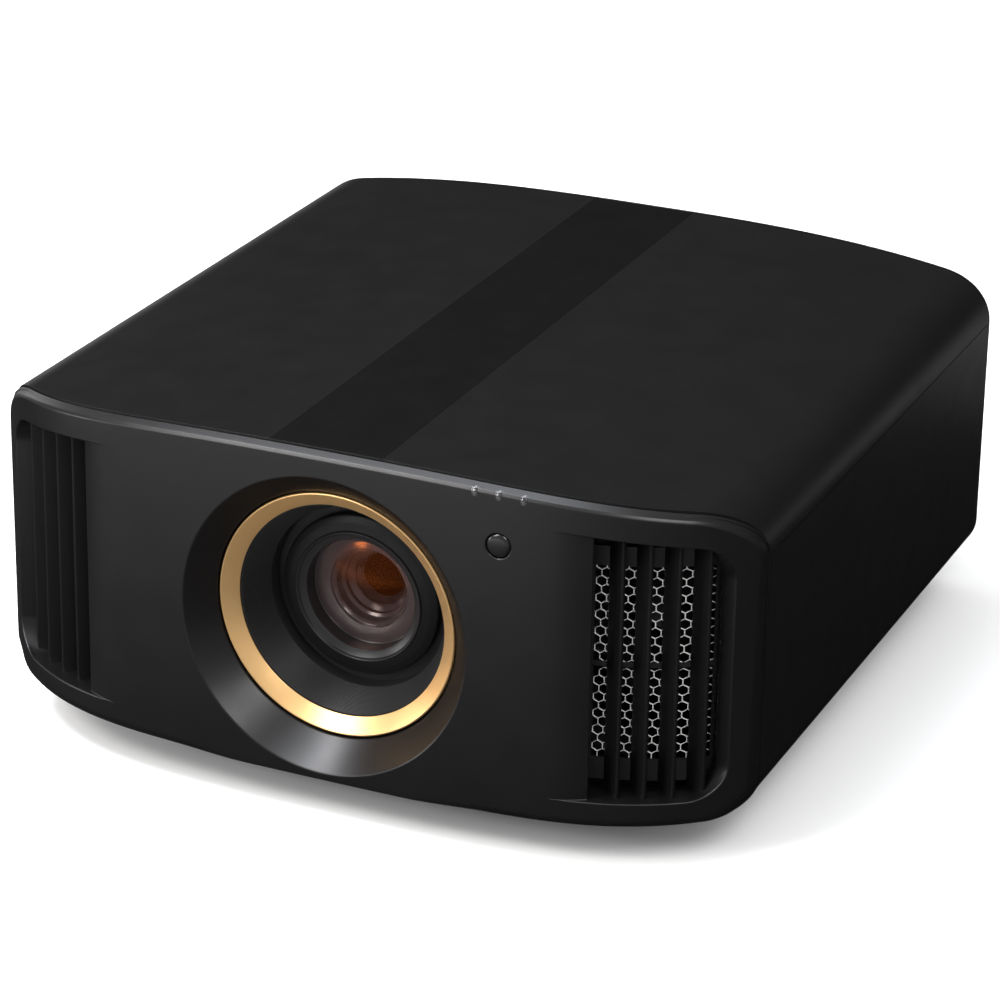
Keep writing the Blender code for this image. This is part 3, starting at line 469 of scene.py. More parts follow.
MATERIALS = {
    "cover": make_material("cover_paint", (0.0032, 0.0032, 0.0034), 0.36, grain=0.00006, grain_scale=1500,
                           smudge=0.03, wear=0.25, blotch=0.05, specular=0.38),
    "strip": make_material("strip_gloss", (0.0018, 0.0018, 0.0019), 0.25, grain=0.00001, smudge=0.03,
                           blotch=0.05, specular=0.40),
    "panel": make_material("panel_satin", (0.0032, 0.0028, 0.0030), 0.34, grain=0.00003, grain_scale=1800,
                           smudge=0.03, wear=0.25, blotch=0.05, specular=0.40),
    "blade": make_material("blade_matt", (0.0022, 0.0021, 0.0021), 0.50, grain=0.00003, grain_scale=1800,
                           smudge=0.03, wear=0.3, specular=0.22),
    "trim": make_material("trim_gold", (0.80, 0.50, 0.22), 0.36, 0.84, grain=0.00002, spun=True, smudge=0.03,
                          blotch=0.05),
    "shroud": make_material("shroud_black", (0.006, 0.006, 0.0063), 0.45, grain=0.00002, smudge=0.05),
    "barrel": make_material("barrel_black", (0.005, 0.005, 0.0052), 0.42, grain=0.00002, spun=True,
                            smudge=0.04, specular=0.22),
    "cell": make_material("cell_black", (0.012, 0.0115, 0.0120), 0.32, grain=0.00001, spun=True, smudge=0.03,
                          specular=0.3),
    # painted light: a lighter copy of cell_black for the inner lens rings, which the lamps barely reach
    "ring": make_material("ring_mauve_painted_light", (0.042, 0.037, 0.039), 0.17, grain=0.00001, spun=True, smudge=0.03,
                          specular=1.0),
    "screen": make_material("screen_silver", (0.64, 0.64, 0.62), 0.50, 0.35, grain=0.00003, blotch=0.06),
    "window": make_material("window_smoked", (0.0042, 0.004, 0.0043), 0.20, grain=0.000005, smudge=0.02,
                            coat=0.15),
    "guide": make_material("guide_clear", (0.016, 0.016, 0.018), 0.13, grain=0.000005, smudge=0.03, coat=0.6),
    "steel": make_material("steel_sheet", (0.42, 0.43, 0.44), 0.34, 1.0, grain=0.00003, brushed=(4, 4, 90),
                           smudge=0.07),
    "aluminium": make_material("aluminium_bare", (0.60, 0.61, 0.62), 0.36, 1.0, grain=0.00003,
                               brushed=(90, 4, 4), smudge=0.07),
    "board": make_material("board_green", (0.012, 0.075, 0.035), 0.42, grain=0.00003, blotch=0.3),
    "rubber": make_material("rubber_black", (0.010, 0.010, 0.010), 0.78, grain=0.00012, grain_scale=1200,
                            smudge=0.08, wear=0.5),
    "filter": make_material("foam_grey", (0.055, 0.055, 0.06), 0.95, grain=0.0009, grain_scale=420,
                            smudge=0.03, blotch=0.35),
    "button": make_material("button_satin", (0.014, 0.014, 0.0155), 0.36, grain=0.00003, grain_scale=1400,
                            wear=0.4),
    "fan": make_material("fan_black", (0.005, 0.005, 0.0055), 0.45, grain=0.00004, wear=0.4),
}
GLASS_FRONT = make_glass("glass_front", (0.96, 0.94, 0.94), (1.0, 0.20, 0.035), 0.050, 0.17)
GLASS_AMBER = make_glass("glass_amber", (0.95, 0.92, 0.91), (1.0, 0.50, 0.32), 0.0035, 0.12)
GLASS_MAROON = make_glass("glass_maroon", (0.36, 0.12, 0.16), (1.0, 0.12, 0.09), 0.0070, 0.16)
GLASS_GREEN = make_glass("glass_green", (0.60, 0.60, 0.60), (0.35, 1.0, 0.45), 0.06, 0.06)


def dress(obj, material, body="housing", replaces=()):
    """Material, body and the CAD nodes that a finished piece stands for."""
    obj.data.materials.clear()
    obj.data.materials.append(MATERIALS[material] if isinstance(material, str) else material)
    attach(obj, body)
    if replaces:
        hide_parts(*replaces)
    return obj


# ---- front panel ----
PANEL_PROFILE = (  # insets at the top, the sides and the bottom, depth behind the face
    (0.00175, 0.00030, 0.00030, 0.01030), (0.00145, 0.00008, 0.00010, 0.01015),
    (0.00138, 0.00000, 0.00000, 0.00990), (0.00148, 0.00005, 0.00008, 0.00950),
    (0.00178, 0.00020, 0.00045, 0.00840), (0.00250, 0.00050, 0.00110, 0.00570),
    (0.00312, 0.00080, 0.00220, 0.00340), (0.00350, 0.00100, 0.00330, 0.00210),
    (0.00366, 0.00112, 0.00400, 0.00160), (0.00380, 0.00122, 0.00470, 0.00138),
    (0.00440, 0.00160, 0.00560, 0.00074), (0.00470, 0.00178, 0.00640, 0.00046),
    (0.00515, 0.00200, 0.00720, 0.00020), (0.00545, 0.00225, 0.00800, 0.00006),
    (0.00580, 0.00255, 0.00900, 0.00000),
)


def lean_share(depth):
    return float(np.interp(depth, (0.0010, 0.0105), (1.0, 0.0)))


def panel_ring(line, directions, top_inset, side_inset, low_inset, depth):
    ring = []
    for p, n in zip(line, directions):
        up = smooth((n.y - 0.1) / 0.8)
        down = smooth((-0.1 - n.y) / 0.5)
        squeeze = 0.40 + 0.60 * smooth((abs(p.x) - 0.055) / 0.055)
        inset = side_inset + (top_inset - side_inset) * up + (low_inset * squeeze - side_inset) * down
        q = p - n * inset
        ring.append((q.x, q.y, depth))
    return ring


def vent_range(x):
    """Heights of the vent's floor and ceiling at x; both curve in at its outer end."""
    low, high = VENT_FLOOR_H, top_height(min(x, VENT_END_X)) - VENT_BORDER
    over = x - (VENT_END_X - VENT_LOW_RADIUS)
    if over > 0:
        low += VENT_LOW_RADIUS - math.sqrt(max(VENT_LOW_RADIUS**2 - over**2, 0))
    over = x - (VENT_END_X - VENT_TOP_RADIUS)
    if over > 0:
        high -= VENT_TOP_RADIUS - math.sqrt(max(VENT_TOP_RADIUS**2 - over**2, 0))
    return low, high


def between(a, b, steps):
    """The values that divide the way from a to b into equal steps, without a and b."""
    return [a + (b - a) * k / steps for k in range(1, steps)]


def scoop_depth(x):
    share = min(max((x - SCOOP_X) / (VENT_X - SCOOP_X), 0), 1)
    return SCOOP_DEPTH * share**2


def vent_lines():
    """The vent's edge from the scoop's start along the ceiling, round the outer end and back along the
    floor, and how many of its points at each end belong to the scoop."""
    scoop = [SCOOP_X + (VENT_X - SCOOP_X) * k / 12 for k in range(13)]

    def stretch(radius, straight, turn):
        start = VENT_END_X - radius
        arc = [start + radius * math.sin(math.pi / 2 * k / turn) for k in range(1, turn + 1)]
        return scoop + list(np.linspace(VENT_X, start, straight)[1:]) + arc

    ceiling = [(x, vent_range(x)[1]) for x in stretch(VENT_TOP_RADIUS, 12, 12)]
    floor = [(x, vent_range(x)[0]) for x in stretch(VENT_LOW_RADIUS, 10, 14)]
    top, bottom = ceiling[-1], floor[-1]
    side = [(top[0], h) for h in between(top[1], bottom[1], 16)]
    return ceiling + side + floor[::-1], len(scoop)


def wall_shift(x, depth):
    """How far the vent's wall has drawn in towards the middle at a depth; more at the outer end."""
    inner = INNER_SLANT * max(depth - SCOOP_DEPTH, 0)
    outer = OUTER_SLANT * min(depth, OUTER_BEND) + DEEP_SLANT * max(depth - OUTER_BEND, 0)
    return inner + (outer - inner) * smooth((x - VENT_END_X + VENT_LOW_RADIUS) / VENT_LOW_RADIUS)


def build_front_panel():
    line = whole_outline()
    directions = normals(line, closed=True)
    points, faces = [], []

    # the rim, from its rear edge round to the face
    rows = []
    for profile in PANEL_PROFILE:
        ring = panel_ring(line, directions, *profile)
        rows.append([add_to(points, Vector((
            x, FACE_Y + bow(x) + depth + lean(h) * lean_share(depth), UNDERSIDE + h)))
            for x, h, depth in ring])
    faces += skin(rows)
    outer = [(x, h) for x, h, _ in ring]

    # the face
    dish = circle(0, LENS_H, DISH_RADIUS, DISH_SEGMENTS)
    sensor = circle(SENSOR_X, SENSOR_H, SENSOR_RADIUS + 0.0004, 48)
    edge, scoops = vent_lines()
    right = edge + [(SCOOP_X, h) for h in between(edge[-1][1], edge[0][1], VENT_STEPS)]
    left = [(-x, h) for x, h in right]
    found, tris = triangulate(outer, [dish, sensor, right, left], 0.0055, 0.45)
    base = len(points)
    points += [Vector((p.x, face_y(p.x, p.y), UNDERSIDE + p.y)) for p in found]
    faces += [tuple(base + i for i in f) for f in tris]

    # the dish, from its rim on the leaning, bowed face to its square floor
    steps = 7
    dish_profile = [(DISH_RADIUS + (DISH_FLOOR - DISH_RADIUS) * k / steps, DISH_DEPTH * k / steps)
                    for k in range(steps + 1)]
    dish_profile += [(DISH_FLOOR, 0.0205), (DISH_FLOOR, 0.0222)]
    dish_profile += [(LENS_HOLE, 0.0222), (LENS_HOLE, 0.0262), (LENS_HOLE, 0.0300)]
    rows = []
    for radius, depth in dish_profile:
        share = max(1 - depth / DISH_DEPTH, 0)
        rows.append([add_to(points, Vector((x, FACE_Y + depth + (bow(x) + lean(h)) * share, UNDERSIDE + h)))
                     for x, h in circle(0, LENS_H, radius, DISH_SEGMENTS)])
    faces += skin(rows)

    # the sensor's hole
    faces += skin([[add_to(points, Vector((x, face_y(x, h) + depth, UNDERSIDE + h))) for x, h in sensor]
                   for depth in (0, 0.004)])

    for side in (-1, 1):
        def put(x, h, depth, drawn=0.0):
            place = side * (x - drawn)
            return add_to(points, Vector((place, face_y(place, h) + depth, UNDERSIDE + h)))

        n = len(edge)
        # scoop: a grid between the floor and the ceiling that curves in
        columns = []
        for j in range(scoops):
            x, high = edge[j]
            low = edge[n - 1 - j][1]
            columns.append([put(x, low + (high - low) * k / VENT_STEPS, scoop_depth(x))
                            for k in range(VENT_STEPS + 1)])
        faces += skin(columns, False)
        # steps between the face and the scoop, along ceiling and floor
        for top in (True, False):
            index = (lambda j: j) if top else (lambda j: n - 1 - j)
            upper = [put(*edge[index(j)], 0) for j in range(scoops)]
            lower = [put(*edge[index(j)], scoop_depth(edge[index(j)][0])) for j in range(scoops)]
            for j in range(scoops - 1):
                quad = [upper[j], upper[j + 1], lower[j + 1], lower[j]]
                faces.append(tuple(quad[1:] if j == 0 else quad))
        # the open vent
        rim = edge[scoops - 1:n - scoops + 1]
        loop = rim + [(VENT_X, h) for h in between(rim[-1][1], rim[0][1], VENT_STEPS)]
        face_row = [put(x, h, 0) for x, h in rim]
        depths = (SCOOP_DEPTH, 0.0100, OUTER_BEND, 0.0180, VENT_DEPTH + 0.0032)
        rows = [[put(x, h, depth, wall_shift(x, depth)) for x, h in loop] for depth in depths]
        faces += strip_faces(face_row, rows[0][:len(rim)], False) + skin(rows)
    bm = filled_mesh(points, faces, 2e-6)
    bmesh.ops.dissolve_degenerate(bm, edges=bm.edges, dist=1e-6)
    bmesh.ops.recalc_face_normals(bm, faces=bm.faces)
    on_face = Vector((0.12, FACE_Y, UNDERSIDE + 0.10))
    nearest = min(bm.faces, key=lambda f: (f.calc_center_median() - on_face).length)
    if nearest.normal.y > 0:
        bmesh.ops.reverse_faces(bm, faces=bm.faces)
    obj = smooth_object("front_panel_shell", bm)

    def rim_weight(a, b):
        """All of the bevel on the vents' deep edges, less on the scoops', none on the panel's outline."""
        x, h = (abs(a.x) + abs(b.x)) / 2, (a.z + b.z) / 2 - UNDERSIDE
        border = 0.012 if x > 0.1 else 0.005
        if h < border or h > top_height(x) - border or x > VENT_END_X + 0.003:
            return 0.0
        step = scoop_depth(x) if SCOOP_X - 0.001 < x < VENT_X else SCOOP_DEPTH
        return min(step / 0.0018, 1.0)

    weigh_edges(obj, PANEL_SHARP, rim_weight)
    bevel = add_bevel(obj, 0.0007, 3, PANEL_SHARP)
    bevel.limit_method = "WEIGHT"
    bevel.use_clamp_overlap = False
    thick = obj.modifiers.new("wall", "SOLIDIFY")
    thick.thickness = 0.0018
    thick.offset = -1.0
    thick.use_rim = True
    add_weighted(obj)
    obj.data.set_sharp_from_angle(angle=math.radians(PANEL_SHARP))
    dress(obj, "panel", replaces=("front_panel",))


# ---- covers ----
SLEEVE_SHARES = (0, 0.006, 0.02, 0.05, 0.1, 0.16, 0.24, 0.34, 0.46, 0.6, 0.74, 0.88, 0.97, 1)


def sleeve(name, outer, inner):
    """A shell between two open outlines, from the bowed gap behind the front panel to the rear panel."""
    rear = REAR_Y - PANEL_WALL - GAP
    points, rows = [], []
    ring = outer + inner[::-1]
    for share in SLEEVE_SHARES:
        row = []
        for p in ring:
            front = FACE_Y + CASE_FRONT + bow(p.x)
            y = front + (rear - front) * share
            row.append(add_to(points, Vector((p.x * side_scale(y), y, UNDERSIDE + p.y))))
        rows.append(row)
    faces = skin(rows)
    count, size = len(outer), len(ring)
    for row in (rows[0], rows[-1]):
        for i in range(count - 1):
            faces.append((row[i], row[i + 1], row[size - 2 - i], row[size - 1 - i]))
    obj = mesh_object(name, points, faces)

    def seam_weight(a, b):
        along_seam = all(abs(abs(p.x) / side_scale(p.y) - STRIP_HALF) < 0.0008 for p in (a, b))
        return 0.2 if along_seam and abs(a.y - b.y) > 0.0005 else 0.12

    weigh_edges(obj, 40, seam_weight)
    add_bevel(obj, 0.0003, 3, 40).limit_method = "WEIGHT"
    add_weighted(obj)
    return obj


def build_covers():
    right = [p for p in right_outline() if p.y >= SHOULDER_H - 1e-6 and p.x > STRIP_HALF]
    right = [Vector((HALF, PARTING_H + 2 * GAP))] + right + [Vector((STRIP_HALF, crown(STRIP_HALF)))]
    channel = crown(0) - STRIP_THICK - GAP
    under = channel - COVER_WALL * 0.8
    right_in = [p - n * COVER_WALL for p, n in zip(right, normals(right, False))]
    outer = right + [Vector((STRIP_HALF, channel)), Vector((-STRIP_HALF, channel))]
    outer += [Vector((-p.x, p.y)) for p in reversed(right)]
    right_in[-1].x = STRIP_HALF + COVER_WALL
    inner = right_in + [Vector((STRIP_HALF, under)), Vector((-STRIP_HALF, under))]
    inner += [Vector((-p.x, p.y)) for p in reversed(right_in)]
    cover = sleeve("top_cover_shell", outer, inner)
    dress(cover, "cover", replaces=("top_cover",))

    edge = STRIP_HALF - 0.00012
    xs = [edge * (1 - 2 * k / 16) for k in range(17)]
    upper = [Vector((x, crown(x))) for x in xs]
    lower = [Vector((x, BODY_HEIGHT - STRIP_THICK)) for x in xs]
    strip = sleeve("top_strip_inlay", upper, lower)
    dress(strip, "strip", replaces=("top_strip",))

    right = [p for p in right_outline() if p.y < PARTING_H - 0.004]
    right.append(Vector((HALF - SIDE_DRAFT * 0.01, PARTING_H)))
    left = [Vector((-p.x, p.y)) for p in reversed(right[1:])]
    outer = left + right
    inner = [p - n * CASE_WALL for p, n in zip(outer, normals(outer, False))]
    case = sleeve("lower_case_shell", outer, inner)
    dress(case, "cover", replaces=("lower_case",))


# ---- details on the front ----
def build_front_details():
    y = face_y(SENSOR_X, SENSOR_H)
    profile = [(0, -0.0005), (0.0040, -0.0004), (0.0061, -0.0001), (0.0068, 0.0003), (0.0072, 0.0009),
               (0.0072, 0.0050), (0, 0.0050)]
    window = lathe("sensor_lens", profile, (SENSOR_X, y + 0.0002, UNDERSIDE + SENSOR_H), 64)
    centre = Vector((SENSOR_X, y, UNDERSIDE + SENSOR_H))
    step = 0.001
    slope = (bow(SENSOR_X + step) - bow(SENSOR_X - step)) / (2 * step)
    turn = Matrix.Rotation(math.atan(slope), 4, "Z")
    window.data.transform(Matrix.Translation(centre) @ turn @ Matrix.Translation(-centre))
    dress(window, "window", replaces=("sensor_window_front",))
    for number, x in enumerate(GUIDE_X, 1):
        lens = guide_bar(f"light_guide_lens_{number}", x, 0.0014, 0.00020, 0.0)
        dress(lens, "guide", replaces=(f"light_guide_{number}",))
        bezel = guide_bar(f"light_guide_bezel_{number}", x, 0.0020, 0.00006, 0.0004)
        dress(bezel, "window")


def guide_bar(name, centre_x, half_width, proud, longer):
    """A bar that lies on the panel's top edge: down the face, over the fold and back along the chamfer."""
    path = [(0.0078 + longer, 0.0), (0.0067, 0.0)]
    path += [(top, depth) for top, _, _, depth in reversed(PANEL_PROFILE) if depth < 0.0034]
    path += [(0.00312, 0.0034), (0.00296 - longer * 0.25, 0.0040 + longer)]
    across = 8
    sides = [-math.cos(math.pi * k / across) for k in range(across + 1)]
    points, top_rows, low_rows = [], [], []
    for i, (inset, depth) in enumerate(path):
        before, after = path[max(i - 1, 0)], path[min(i + 1, len(path) - 1)]
        along = Vector((after[1] - before[1], before[0] - after[0])).normalized()
        out = Vector((-along.y, along.x))
        narrow = 0.72 if i in (0, len(path) - 1) else 1.0
        top_row, low_row = [], []
        for s in sides:
            x = centre_x + s * half_width * narrow
            h = crown(x) - inset
            y = FACE_Y + bow(x) + depth + lean(h) * lean_share(depth)
            for row, lift in ((top_row, proud * (1 - 0.7 * s**4)), (low_row, -0.0009)):
                row.append(add_to(points, Vector((x, y + out.x * lift, UNDERSIDE + h + out.y * lift))))
        top_rows.append(top_row)
        low_rows.append(low_row)
    rings = [top + low[::-1] for top, low in zip(top_rows, low_rows)]
    return mesh_object(name, points, capped(rings), 50)


# ---- vents ----
def build_louvres(side, name):
    """Upright blades with rounded noses, and a wider foot and head at the vent's floor and ceiling."""
    points, faces = [], []
    for k in range(FIN_COUNT):
        x = FIN_X + FIN_PITCH * k
        nose = Vector((x, FACE_Y + bow(x) + FIN_DEPTH))
        tail = Vector((x - FIN_REACH, FACE_Y + bow(x - FIN_REACH) + VENT_DEPTH + 0.0020))
        length = (tail - nose).length
        back = (tail - nose).normalized()
        across = Vector((back.y, -back.x))
        low, high = vent_range(x + 0.0005)
        # height and how much wider than the blade's middle
        levels = ((low - 0.0002, 1.5), (low + 0.0012, 1.25), (low + 0.0030, 1.0), (low + 0.0100, 1.0),
                  ((low + high) / 2, 1.0), (high - 0.0080, 1.0), (high - 0.0020, 1.0), (high + 0.0002, 1.2))
        rows = []
        for h, wide in levels:
            half = 0.00135 * wide
            plan = []
            for j in range(9):
                t = math.pi * j / 8
                plan.append(nose + across * (half * math.cos(t)) + back * (half * (1 - math.sin(t))))
            plan.append(nose + back * length - across * 0.0007)
            plan.append(nose + back * length + across * 0.0007)
            rows.append([add_to(points, Vector((side * p.x, p.y + lean(h), UNDERSIDE + h))) for p in plan])
        faces += capped(rows)
    obj = mesh_object(f"louvre_blades_{name}", points, faces, 40)
    dress(obj, "blade", replaces=(f"louvres_{name}",))


def build_screen(side, name):
    """A pressed hexagonal mesh that follows the bow, in a thin frame with a bar across its middle."""
    first, last, low, high = VENT_X - 0.008, 0.2222, 0.036, 0.162
    depth = VENT_DEPTH + 0.0034
    size = 0.00344
    wide, tall = size * math.sqrt(3), size * 1.5
    bar_low, bar_high = 0.0955, 0.0985
    bm = bmesh.new()

    def place(x, h, behind):
        y = FACE_Y + bow(x) + depth + behind + lean(h)
        return Vector((side * x, y, UNDERSIDE + h))

    # a hexagon's inset and its distance behind the mesh's face
    levels = ((0.0, -0.00016), (0.00015, -0.00009), (0.00025, 0.00010), (0.00026, 0.00050), (0.0, 0.00066))
    rows = int((high - low) / tall)
    columns = int((last - first) / wide)
    for r in range(rows):
        for c in range(columns + 1):
            cx = last - wide * (c + (1.0 if r % 2 else 0.5))
            ch = low + tall * r + size
            if cx - wide / 2 < first - 0.001 or bar_low - size * 0.7 < ch < bar_high + size * 0.7:
                continue
            rings = []
            for inset, behind in levels:
                radius = size - inset / math.cos(math.pi / 6)
                corners = [(cx + radius * math.sin(math.pi / 3 * k), ch + radius * math.cos(math.pi / 3 * k))
                           for k in range(6)]
                rings.append([bm.verts.new(place(x, h, behind)) for x, h in corners])
            for quad in skin(rings):
                bm.faces.new(quad)
    bmesh.ops.remove_doubles(bm, verts=bm.verts, dist=0.00002)
    bad = [f for f in bm.faces if f.calc_area() < 1e-12]
    if bad:
        bmesh.ops.delete(bm, geom=bad, context="FACES")
    mesh = new_object(f"hex_mesh_{name}", bm, 50)
    dress(mesh, "screen", replaces=(f"vent_screen_{name}",))

    points, faces = [], []
    left_end, right_end, bottom, top = first - 0.004, last + 0.0045, 0.024, 0.170
    bars = ((left_end, bottom, right_end, low + 0.0020), (left_end, high - 0.004, right_end, top),
            (left_end, bar_low, right_end, bar_high), (left_end, bottom, first + 0.0010, top),
            (last - 0.0003, bottom, right_end, top))
    steps = 10
    for x0, h0, x1, h1 in bars:
        sections = []
        for k in range(steps + 1):
            x = x0 + (x1 - x0) * k / steps
            sections.append([add_to(points, place(x, h, behind)) for h, behind in
                             ((h0, -0.0008), (h1, -0.0008), (h1, 0.0012), (h0, 0.0012))])
        faces += capped(sections)
    holder = mesh_object(f"mesh_frame_{name}", points, faces, 40)
    dress(holder, "fan")


# ---- lens ----
LENS = (0, FACE_Y, UNDERSIDE + LENS_H)


def build_lens():
    trim = rounded([(0.0678, 0.0251), (0.0761, 0.01855), (0.0768, 0.0180), (0.0776, 0.0184), (0.0777, 0.0190),
                    (0.0777, 0.0257), (0.0678, 0.0257)], 0.00035, 3)
    dress(lathe("trim_ring_gold", trim, LENS, 256), "trim", replaces=("lens_trim_ring",))

    ribs, start, end = 24, (0.0672, 0.0262), (0.0582, 0.0468)
    shroud = [start]
    along = Vector((end[0] - start[0], end[1] - start[1]))
    length = along.length
    along.normalize()
    out = Vector((-along.y, along.x))
    if out.x > 0:
        out = -out
    for k in range(ribs):
        a = length * (k + 0.10) / ribs
        for share, high in ((0.0, 0.0), (0.22, 0.00032), (0.50, 0.00036), (0.72, 0.00010), (0.85, 0.0)):
            p = Vector(start) + along * (a + length / ribs * share * 0.98) + out * high
            shroud.append((p.x, p.y))
    shroud += [(0.0577, 0.0479), (0.0577, 0.0560), (0.0455, 0.0560), (0.0455, 0.0575), (0.0592, 0.0575),
               (0.0592, 0.0485), (0.0688, 0.0277), (0.0850, 0.0277), (0.0850, 0.0262)]
    dress(lathe("ribbed_shroud", shroud, LENS, 192, 40), "shroud", "lens_carriage",
          ("lens_shroud",))

    def turned(name, profile, material, replaces=()):
        piece = lathe(name, rounded(profile, 0.0003, 2), LENS, 192, 40)
        dress(piece, material, "lens_carriage", replaces)

    flange = [(0.0417, 0.0476), (0.0423, 0.0474), (0.0470, 0.0486), (0.0505, 0.0500), (0.0514, 0.0506),
              (0.0517, 0.0513), (0.0515, 0.0545), (0.0450, 0.0558), (0.0450, 0.1850), (0.0432, 0.1850),
              (0.0432, 0.0600), (0.0417, 0.0590)]
    turned("barrel_flange", flange, "barrel")

    rim = [(0.0404, 0.0473), (0.0408, 0.0467), (0.0412, 0.0465), (0.0416, 0.0469), (0.0416, 0.0600),
           (0.0430, 0.0620), (0.0430, 0.1840), (0.0362, 0.1840), (0.0362, 0.0612), (0.0357, 0.0606),
           (0.0357, 0.0592), (0.0358, 0.0504), (0.0361, 0.0499), (0.0366, 0.0498), (0.0400, 0.0482)]
    turned("barrel_rim", rim, "cell", ("lens_barrel",))

    rings = [  # the lens cells' steps, from the innermost out to the front glass's seat
        (0.0120, 0.1000), (0.0140, 0.0960), (0.0140, 0.0822), (0.0146, 0.0812), (0.0161, 0.0773),
        (0.0163, 0.0778), (0.0165, 0.0762), (0.0172, 0.0750), (0.0174, 0.0753), (0.0197, 0.0724),
        (0.0201, 0.0728), (0.0203, 0.0705), (0.0213, 0.0698), (0.0222, 0.0690), (0.0226, 0.0694),
        (0.0232, 0.0645), (0.0236, 0.0640), (0.0250, 0.0621), (0.0254, 0.0626), (0.0257, 0.0612),
        (0.0346, 0.0602), (0.0349, 0.0605), (0.0352, 0.0598), (0.0356, 0.0598), (0.0356, 0.1800),
        (0.0120, 0.1800),
    ]
    # the inner cell rings take the lighter ring material, which is painted light
    turned("lens_cell_rings", rings, "ring")

    stop = [(0, 0.0940), (0.0100, 0.0944), (0.0136, 0.0950), (0.0136, 0.0958), (0, 0.0958)]
    dress(lathe("lens_rear_stop", stop, LENS, 96), "barrel", "lens_carriage")

    def element(name, radius, edge, curve, thick, glass, segments, replaces=()):
        """A lens element whose convex front has the given radius of curvature and meets its rim at edge."""
        sag = curve - math.sqrt(curve**2 - radius**2)
        count = 16
        front = [(radius * k / count, edge - sag + curve - math.sqrt(curve**2 - (radius * k / count) ** 2))
                 for k in range(count + 1)]
        back = [(radius * k / count, edge + thick) for k in range(count, -1, -1)]
        piece = lathe(name, front + back, LENS, segments, 60)
        dress(piece, glass, "lens_carriage", replaces)

    element("front_glass", 0.0348, 0.0594, 0.0674, 0.0006, GLASS_FRONT, 160, ("front_element",))
    element("second_glass", 0.0220, 0.0684, 0.0600, 0.0012, GLASS_AMBER, 128)
    element("third_glass", 0.0139, 0.0826, 0.0260, 0.0020, GLASS_MAROON, 96)
    element("fourth_glass", 0.0085, 0.0900, 0.0105, 0.0015, GLASS_GREEN, 96)


# ---- rear ----
def build_rear():
    scale = side_scale(REAR_Y)
    outer = [(p.x * scale, UNDERSIDE + p.y) for p in whole_outline()]
    holes = []
    for name in ("intake_cover_left", "intake_cover_right"):
        low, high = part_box(name)
        holes.append(round_rect(low.x - 0.0006, low.z - 0.0006, high.x + 0.0006, high.z + 0.0006, 0.004))
    low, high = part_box("terminal_plate")
    holes.append(round_rect(low.x + 0.004, low.z + 0.004, high.x - 0.004, high.z - 0.004, 0.003))
    low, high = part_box("power_inlet")
    holes.append(round_rect(low.x - GAP, low.z - GAP, high.x + GAP, high.z + GAP, 0.0012, 3))
    buttons = sorted(n for n in frame["nodes"] if n.endswith("_button"))
    for name in buttons:
        low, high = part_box(name)
        mid = (low + high) / 2
        radius = (high.x - low.x) / 2
        holes.append(circle(mid.x, mid.z, radius + 0.0003, 40))
        profile = [(0, 0.00045), (radius * 0.45, 0.00050), (radius * 0.72, 0.00075), (radius * 0.86, 0.00085),
                   (radius * 0.96, 0.00060), (radius, 0.00020), (radius, -0.0045), (0, -0.0045)]
        cap = lathe(name.replace("_button", "_key"), profile, (mid.x, REAR_Y, mid.z), 48)
        dress(cap, "button", name, (name,))
    panel = plate("rear_panel_plate", outer, holes, REAR_Y - PANEL_WALL, REAR_Y, 0.012, 0.0007)
    dress(panel, "panel", replaces=("rear_panel",))

    for name in ("left", "right"):
        low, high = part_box("intake_cover_" + name)
        slots, border, bar = 13, 0.008, 0.0035
        pitch = (high.z - low.z - 2 * border + bar) / slots
        holes = []
        for k in range(slots):
            bottom = low.z + border + pitch * k
            holes.append(round_rect(low.x + border, bottom, high.x - border, bottom + pitch - bar,
                                    (pitch - bar) * 0.45, 4))
        rim = round_rect(low.x, low.z, high.x, high.z, 0.0035)
        cover = plate("intake_grille_" + name, rim, holes, low.y, high.y, 0, 0.0006)
        dress(cover, "panel", "intake_" + name, ("intake_cover_" + name,))


# ---- feet ----
def build_feet():
    for name in ("front_left", "front_right", "rear_left", "rear_right"):
        low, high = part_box("foot_" + name)
        mid = (low + high) / 2
        radius, top = (high.x - low.x) / 2, high.z
        bore, recess = 0.0055, 0.0046
        profile = (
            (bore, recess), (bore, top), (radius * 0.45, top), (radius * 0.80, top - 0.0004),
            (radius - 0.0016, top - 0.0010), (radius - 0.0003, top - 0.0026, True),
            (radius, top - 0.0040, True), (radius, 0.0085, True),
            (radius - 0.0004, 0.0070, True), (radius - 0.0016, 0.0062),
            (radius - 0.0022, 0.0050), (radius - 0.0022, 0.0012), (radius - 0.0028, 0.0003),
            (radius - 0.0040, 0.0), (bore * 0.9, 0.0), (0.0, 0.0), (0.0, recess))
        foot = lathe("foot_pad_" + name, profile, (mid.x, mid.y, 0), 120, 32, upright=True)
        dress(foot, "rubber", "foot_" + name, ("foot_" + name,))


# ---- carried-over CAD nodes ----
def dress_frame():
    finishes = {m["node"]: m["material_slot"] for m in frame["record"]["subparts"]}
    for name, node in frame["nodes"].items():
        node.data.materials.clear()
        node.data.materials.append(MATERIALS[{"optics": "window"}.get(finishes[name], finishes[name])])
        for polygon in node.data.polygons:
            polygon.material_index = 0
